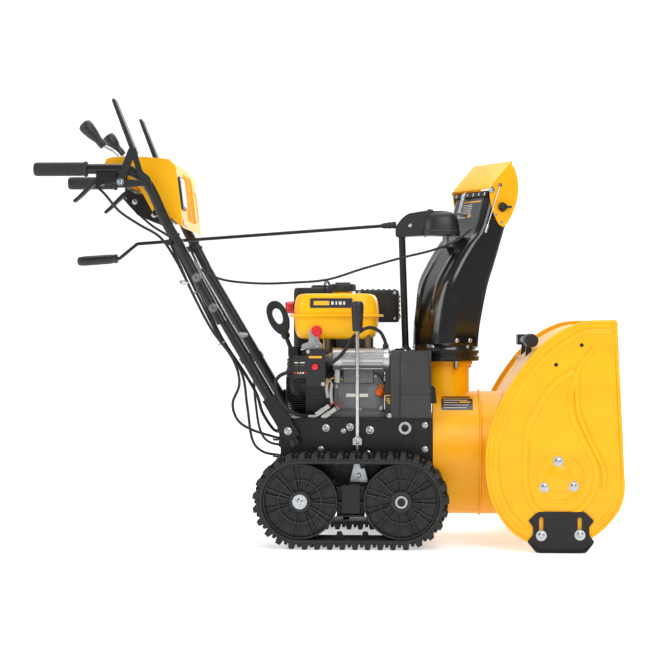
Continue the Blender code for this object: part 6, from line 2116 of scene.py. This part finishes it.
    def trigger(self, word: str, side: float) -> None:
        """One steering trigger, a curved blade under the grip.

        Args:
            word: right or left.
            side: -1 or 1.
        """
        shape = Shape()
        line = curve(mm((-558, 913), (-573, 918), (-596, 898), (-614, 880), (-632, 864.5)), 26)
        rows = []
        for number, spot in enumerate(line):
            share = number / (len(line) - 1)
            half = 0.0098 - 0.0018 * share
            thick = (0.0065 - 0.0022 * share) * (1.0 if number < len(line) - 1 else 0.5)
            ahead = line[min(number + 1, len(line) - 1)] - line[max(number - 1, 0)]
            ahead = unit(ahead)
            edge = rounded(slim(2 * thick, 2 * half), 0.0025 if thick > 0.004 else 0.0012, 4)
            rows.append(np.stack([spot[0] - ahead[1] * edge[:, 0], side * 0.225 + edge[:, 1],
                spot[1] + ahead[0] * edge[:, 0]], axis=1))
        shape.loft(np.array(rows), ABS)
        shape.turned(mm((-10.5, 0), (-10.5, 9.5), (10.5, 9.5), (10.5, 0)), (-0.563, side * 0.225, 0.915),
            LEFT, ABS, steps=28)
        shape.bolt((-0.563, side * 0.2355, 0.915), (0, side, 0), 0.0042)
        shape.build("steering_trigger_" + word, "steer_" + word, "black_plastic", ["trigger_" + word],
            bevel=0.001)
        bracket = Shape()
        outline = rounded(mm((-574, 904), (-522, 914), (-522, 938), (-574, 938)), 0.004)
        for near in (0.21, 0.2368):
            bracket.flank(outline, side, near, near + 0.0026, BLACK)
        bracket.build("trigger_bracket_" + word, "machine", "black_paint", bevel=0.0006)


@dataclass
class Dash:
    """The yellow panel with its lamp, recess, screws and slots, and the two selector levers."""

    half: float = 0.189

    def build(self) -> None:
        """Make the panel's skin and fittings, then the levers."""
        self.panel()
        self.bracket()
        self.selector("speed_lever", "speed", -0.045, mm((-500, 905), (-545, 992), (-590, 1025)),
            (-0.64, 1.08))
        self.selector("deflector_lever", "deflector_control", 0.045,
            mm((-500, 905), (-530, 980), (-555, 1010)), (-0.594, 1.056))

    def front(self, y: float, share: float) -> Points:
        """A point of the panel's sloping front face.

        Args:
            y: distance across the machine.
            share: 0 at the top edge, 1 at the bottom edge.

        Returns:
            The point.
        """
        top, bottom = np.array([-0.379, y, 0.955]), np.array([-0.36, y, 0.8])
        return top + (bottom - top) * share

    def panel(self) -> None:
        """The panel: a moulded shell with the lamp let into its front face and printed scales on top."""
        shape = Shape().cad("dash_panel", YELLOW)
        ridge = mm((-390, 960), (-372.5, 930), (-360, 824))
        for side in (-1.0, 1.0):
            for y in (side * 0.06, side * 0.0245):
                path = np.array([(x, y, z) for x, z in ridge])
                shape.tube(curve(path, 16), 0.0022, YELLOW, sides=8)
        for x, z in mm((-456, 902), (-438, 869), (-520, 950)):
            for side in (-1.0, 1.0):
                shape.turned(mm((0, 8.5), (1.2, 8.2), (1.2, 5), (0.2, 4.5)), (x, side * self.half, z),
                    (0, side, 0), YELLOW, steps=28)
                shape.screw((x, side * (self.half + 0.0004), z), (0, side, 0), 0.0048)
        shape.build("moulded_dash", "machine", "yellow_plastic", ["dash_panel"], bevel=0.004)
        lamp = Shape()
        out = np.array([0.9926, 0.0, 0.1217])
        square = rounded(slim(0.08, 0.084), 0.01)
        middle = self.front(-0.143, 0.42)
        up = unit(self.front(0.0, 0.0) - self.front(0.0, 1.0))
        across = np.array([0.0, 1.0, 0.0])
        for size, low, high, finish in ((1.0, -0.004, 0.005, ABS), (0.86, 0.005, 0.0075, LENS)):
            flat = middle + size * (square[:, :1] * across + square[:, 1:] * up)
            lamp.loft(np.stack([flat + out * low, flat + out * high]), finish)
        for row in np.linspace(-0.026, 0.026, 5):
            line = middle + up * row + out * 0.0076
            lamp.tube(np.linspace(line - across * 0.03, line + across * 0.03, 4), 0.0016, LENS, sides=8)
        lamp.build("work_lamp", "machine", "black_plastic", bevel=0.0012)
        recess = Shape()
        strip = rounded(slim(0.13, 0.08), 0.008)
        spot = self.front(0.105, 0.52)
        flat = spot + strip[:, :1] * across + strip[:, 1:] * up
        inner = spot + 0.93 * (strip[:, :1] * across + strip[:, 1:] * up)
        recess.grid(np.stack([flat - out * 0.001, flat + out * 0.0022, inner + out * 0.0022,
            inner - out * 0.001]), YELLOW, wrap_u=True, wrap_v=True)
        recess.build("panel_bead", "machine", "yellow_plastic")
        label = Shape()
        spot = self.front(-0.145, 0.9)
        for size, low, high, finish in ((1.0, -0.0005, 0.0008, FILM), (0.7, 0.0008, 0.0012, GOLD_PRINT)):
            plate = slim(0.07 * size, 0.018 * size)
            flat = spot + plate[:, :1] * across + plate[:, 1:] * up
            label.loft(np.stack([flat + out * low, flat + out * high]), finish)
        label.build("panel_label", "machine", "yellow_plastic")
        scale = Shape()
        for y in (-0.045, 0.045):
            for number in range(8):
                x = -0.506 + 0.0115 * number
                width = 0.01 if number % 2 else 0.016
                scale.block((x, y + 0.016, 0.9808), (x + 0.0022, y + 0.016 + width, 0.9816), FILM)
            scale.block((-0.51, y + 0.013, 0.9808), (-0.422, y + 0.0142, 0.9816), FILM)
        scale.build("panel_scales", "machine", "yellow_plastic")

    def bracket(self) -> None:
        """The steel bracket that carries the selector levers under the panel, with its bolts."""
        shape = Shape()
        outline = rounded(mm((-518, 896), (-470, 890), (-425, 826), (-440, 816), (-490, 838), (-518, 876)),
            0.006)
        for y in (-0.11, -0.07, 0.07, 0.11):
            shape.plate(outline, "XZ", y - 0.0015, y + 0.0015, BLACK)
            for x, z in mm((-496, 872), (-446, 838)):
                shape.bolt((x, y - 0.0015, z), RIGHT, 0.006)
        shape.tube(np.linspace((-0.5, -0.186, 0.905), (-0.5, 0.186, 0.905), 6), 0.006, ZINC, sides=16)
        shape.tube(np.linspace((-0.43, -0.19, 0.84), (-0.43, 0.19, 0.84), 6), 0.0085, BLACK, sides=20)
        shape.build("selector_bracket", "machine", "black_paint", bevel=0.0006)

    def selector(self, node: str, body: str, y: float, rod: Sequence[tuple[float, float]],
            tip: tuple[float, float]) -> None:
        """One selector lever: a bent rod with a round, waisted and ribbed knob.

        Args:
            node: the CAD node it replaces.
            body: the body it turns with.
            y: distance across the machine.
            rod: X and Z of the rod's bends.
            tip: X and Z of the knob's end.
        """
        shape = Shape()
        shape.tube(curve([(x, y, z) for x, z in rod], 24), 0.005, ZINC, sides=16)
        start = np.array([rod[-1][0], y, rod[-1][1]])
        end = np.array([tip[0], y, tip[1]])
        heading = unit(end - start)
        length = np.linalg.norm(end - start)
        shape.turned([(-0.004, 0.005), (-0.004, 0.0095), (0.0, 0.0112), (0.01, 0.0115), (0.015, 0.0104),
            (0.022, 0.0114), (0.5 * length, 0.0158), (0.78 * length, 0.0186), (0.9 * length, 0.019),
            (0.99 * length, 0.0172), (1.04 * length, 0.012), (1.06 * length, 0.0)], start, heading, ABS,
            steps=40)
        for turn in circle(6):
            across, up, along = basis(heading)
            out = across * math.cos(turn) + up * math.sin(turn)
            shape.tube([start + along * 0.028 + out * 0.0116, start + along * 0.75 * length + out * 0.018],
                0.0013, ABS, sides=6)
        shape.turned(mm((-9, 0), (-9, 10), (9, 10), (9, 0)), (rod[0][0], y, rod[0][1]), LEFT, ZINC,
            steps=28)
        shape.build("waisted_" + node, body, "black_plastic", [node])


@dataclass
class Cables:
    """The sleeved cables: two down the bars, the loops beside the engine and the one to the chute."""

    def build(self) -> None:
        """Make the cables with their end ferrules and ties."""
        self.control()
        self.loops()
        self.deflector()

    def ferrule(self, shape: Shape, start: Place, ahead: Place, radius: float) -> None:
        """A plated ferrule with a shoulder at a cable's end.

        Args:
            shape: the piece it joins.
            start: where it begins.
            ahead: the way that it points.
            radius: the cable's radius.
        """
        shape.turned([(0.0, radius), (0.0, radius * 1.7), (0.012, radius * 1.7), (0.014, radius * 1.3),
            (0.022, radius * 1.3), (0.022, 0.0)], start, ahead, ZINC, steps=20)

    def control(self) -> None:
        """The main control cable down the bars and into the chassis."""
        route = mm((-400, -170, 795), (-375, -150, 740), (-325, -140, 640), (-270, -138, 525),
            (-215, -136, 440), (-180, -134, 380), (-165, -120, 330), (-138, -105, 287), (-119, -100, 283))
        shape = Shape()
        shape.tube(curve(route, 90), 0.004, SOFT_RUBBER, sides=16)
        shape.turned(mm((0, 4), (0, 8), (10, 8), (12, 5), (12, 0)), (-0.13, -0.1025, 0.2845),
            (1.0, 0.2, -0.1), ZINC, steps=20)
        shape.build("control_cable_sleeve", "machine", "black_rubber", ["control_cable"])

    def loops(self) -> None:
        """The further cables: each follows the bar, then loops behind the engine into the chassis."""
        runs = {"trigger_cable": mm((-578, -220, 905), (-556, -216, 885), (-520, -208, 842),
            (-470, -200, 808), (-420, -196, 778), (-386, -184, 730), (-350, -183, 662)),
            "far_trigger_cable": mm((-578, 220, 905), (-550, 210, 875), (-500, 200, 830), (-440, 194, 790),
            (-390, 182, 730), (-350, 180, 662)), "outer_cable": mm((-395, -183, 765), (-370, -183, 708),
            (-340, -183, 640), (-290, -183, 545), (-236, -180, 470), (-220, -170, 408), (-238, -160, 356),
            (-226, -150, 313), (-188, -142, 287), (-118, -130, 265)),
            "inner_cable": mm((-390, 178, 765), (-340, 178, 660), (-270, 170, 530), (-220, 160, 440),
            (-208, 150, 350), (-195, 140, 275), (-170, 130, 240), (-118, 120, 230)),
            "drive_cable": mm((-430, -150, 856), (-405, -160, 795), (-356, -156, 690), (-280, -150, 535),
            (-218, -150, 438), (-202, -148, 348), (-190, -144, 265), (-164, -140, 233), (-118, -130, 222))}
        for name, route in runs.items():
            shape = Shape()
            shape.tube(curve(route, 110), 0.0034, SOFT_RUBBER, sides=14)
            self.ferrule(shape, np.array(route[-1]) - (0.02, 0.0, 0.0), AHEAD, 0.0034)
            shape.build(name, "machine", "black_rubber")
        tie = Shape()
        for x, z in mm((-333, 638), (-268, 508)):
            heading = np.array([-0.45, 0.0, 0.89])
            tie.turned(mm((-2.2, 8.5), (-2.2, 9.8), (2.2, 9.8), (2.2, 8.5)), (x, -0.15, z), heading, NYLON,
                steps=24)
        tie.build("cable_ties", "machine", "black_plastic")

    def deflector(self) -> None:
        """The cable to the chute's deflector."""
        route = mm((-330, -120, 700), (-270, -115, 672), (-180, -110, 662), (-90, -100, 664), (0, -90, 672),
            (90, -80, 700), (190, -75, 728), (270, -70, 748), (330, -70, 772), (366, -66, 800))
        shape = Shape()
        shape.tube(curve(route, 150), 0.0031, SOFT_RUBBER, sides=14)
        shape.turned(mm((0, 3.1), (0, 5), (14, 5), (16, 3.6), (16, 0)),
            np.array(route[-1]) - (0.01, -0.001, 0.008), (0.75, 0.08, 0.65), IRON, steps=20)
        cable = shape.build("deflector_cable_sleeve", "machine", "black_rubber", ["deflector_cable"])
        stretch(cable, "machine", "chute_body", route[5], route[-1])


ASSEMBLIES = (AugerHousing, ThrowerDrum, Augers, Chute, ChuteDrive, Chassis, Tracks, Engine, Handlebars,
    Dash, Cables)


# ---------------------------------------------------------------- scene


@dataclass
class Stage:
    """The pale floor, the soft lights and the camera."""

    camera_place: tuple[float, float, float] = (0.2246, -4.705, 0.555)
    camera_yaw: float = math.radians(2.87)
    lens: float = 99.47
    sensor: float = 36.0

    def build(self) -> None:
        """Make the floor, the lights, the world and the camera."""
        self.floor()
        self.lamp("key_softbox", (1.4, -3.2, 2.9), (0.1, 0.0, 0.45), 2.4, 84.0)
        self.lamp("side_softbox", (-3.0, -2.0, 1.7), (0.0, 0.0, 0.45), 1.8, 42.0)
        self.lamp("top_softbox", (0.0, 0.6, 3.2), (0.0, 0.0, 0.4), 2.6, 60.0)
        self.lamp("back_softbox", (1.8, 2.8, 1.9), (0.2, 0.0, 0.5), 1.8, 60.0)
        world = bpy.data.worlds.new("studio")
        world.use_nodes = True
        backdrop = world.node_tree.nodes["Background"]
        backdrop.inputs["Color"].default_value = linear("F6F7F8")
        backdrop.inputs["Strength"].default_value = 0.32
        bpy.context.scene.world = world
        data = bpy.data.cameras.new("camera")
        data.lens = self.lens
        data.sensor_width = self.sensor
        camera = bpy.data.objects.new("camera", data)
        camera.location = self.camera_place
        camera.rotation_euler = (math.pi / 2, 0.0, self.camera_yaw)
        bpy.context.scene.collection.objects.link(camera)
        bpy.context.scene.camera = camera
        bpy.context.scene.view_settings.view_transform = "Standard"

    def floor(self) -> None:
        """A pale seamless sweep: the floor, a wide bend and the wall behind."""
        reach = 14.0
        turn = np.linspace(0.0, math.pi / 2, 24)
        bend = np.stack([4.0 + 2.0 * np.sin(turn), 2.0 - 2.0 * np.cos(turn)], axis=1)
        sweep = np.vstack([[(-reach, 0.0)], bend, [(6.0, reach)]])
        points = [(x, y, z) for y, z in sweep for x in (-reach, reach)]
        faces = [(2 * row, 2 * row + 1, 2 * row + 3, 2 * row + 2) for row in range(len(sweep) - 1)]
        mesh = bpy.data.meshes.new("studio_floor")
        mesh.from_pydata(points, [], faces)
        mesh.shade_smooth()
        mesh.materials.append(FLOOR.material())
        floor = bpy.data.objects.new("studio_floor", mesh)
        bpy.context.scene.collection.objects.link(floor)

    def lamp(self, name: str, place: Place, target: Place, size: float, power: float) -> None:
        """A square soft light aimed at a point.

        Args:
            name: the lamp's name.
            place: where it hangs.
            target: the point it faces.
            size: the length of its side.
            power: its power in watts.
        """
        data = bpy.data.lights.new(name, "AREA")
        data.size = size
        data.energy = power
        lamp = bpy.data.objects.new(name, data)
        lamp.location = place
        lamp.rotation_euler = (Vector(target) - Vector(place)).to_track_quat("-Z", "Y").to_euler()
        bpy.context.scene.collection.objects.link(lamp)


def main() -> None:
    """Build every sub-assembly, then the stage."""
    logging.basicConfig(level=logging.INFO, format="%(name)s %(message)s")
    Stage().build()
    for assembly in ASSEMBLIES:
        assembly().build()


if __name__ == "__main__":
    main()
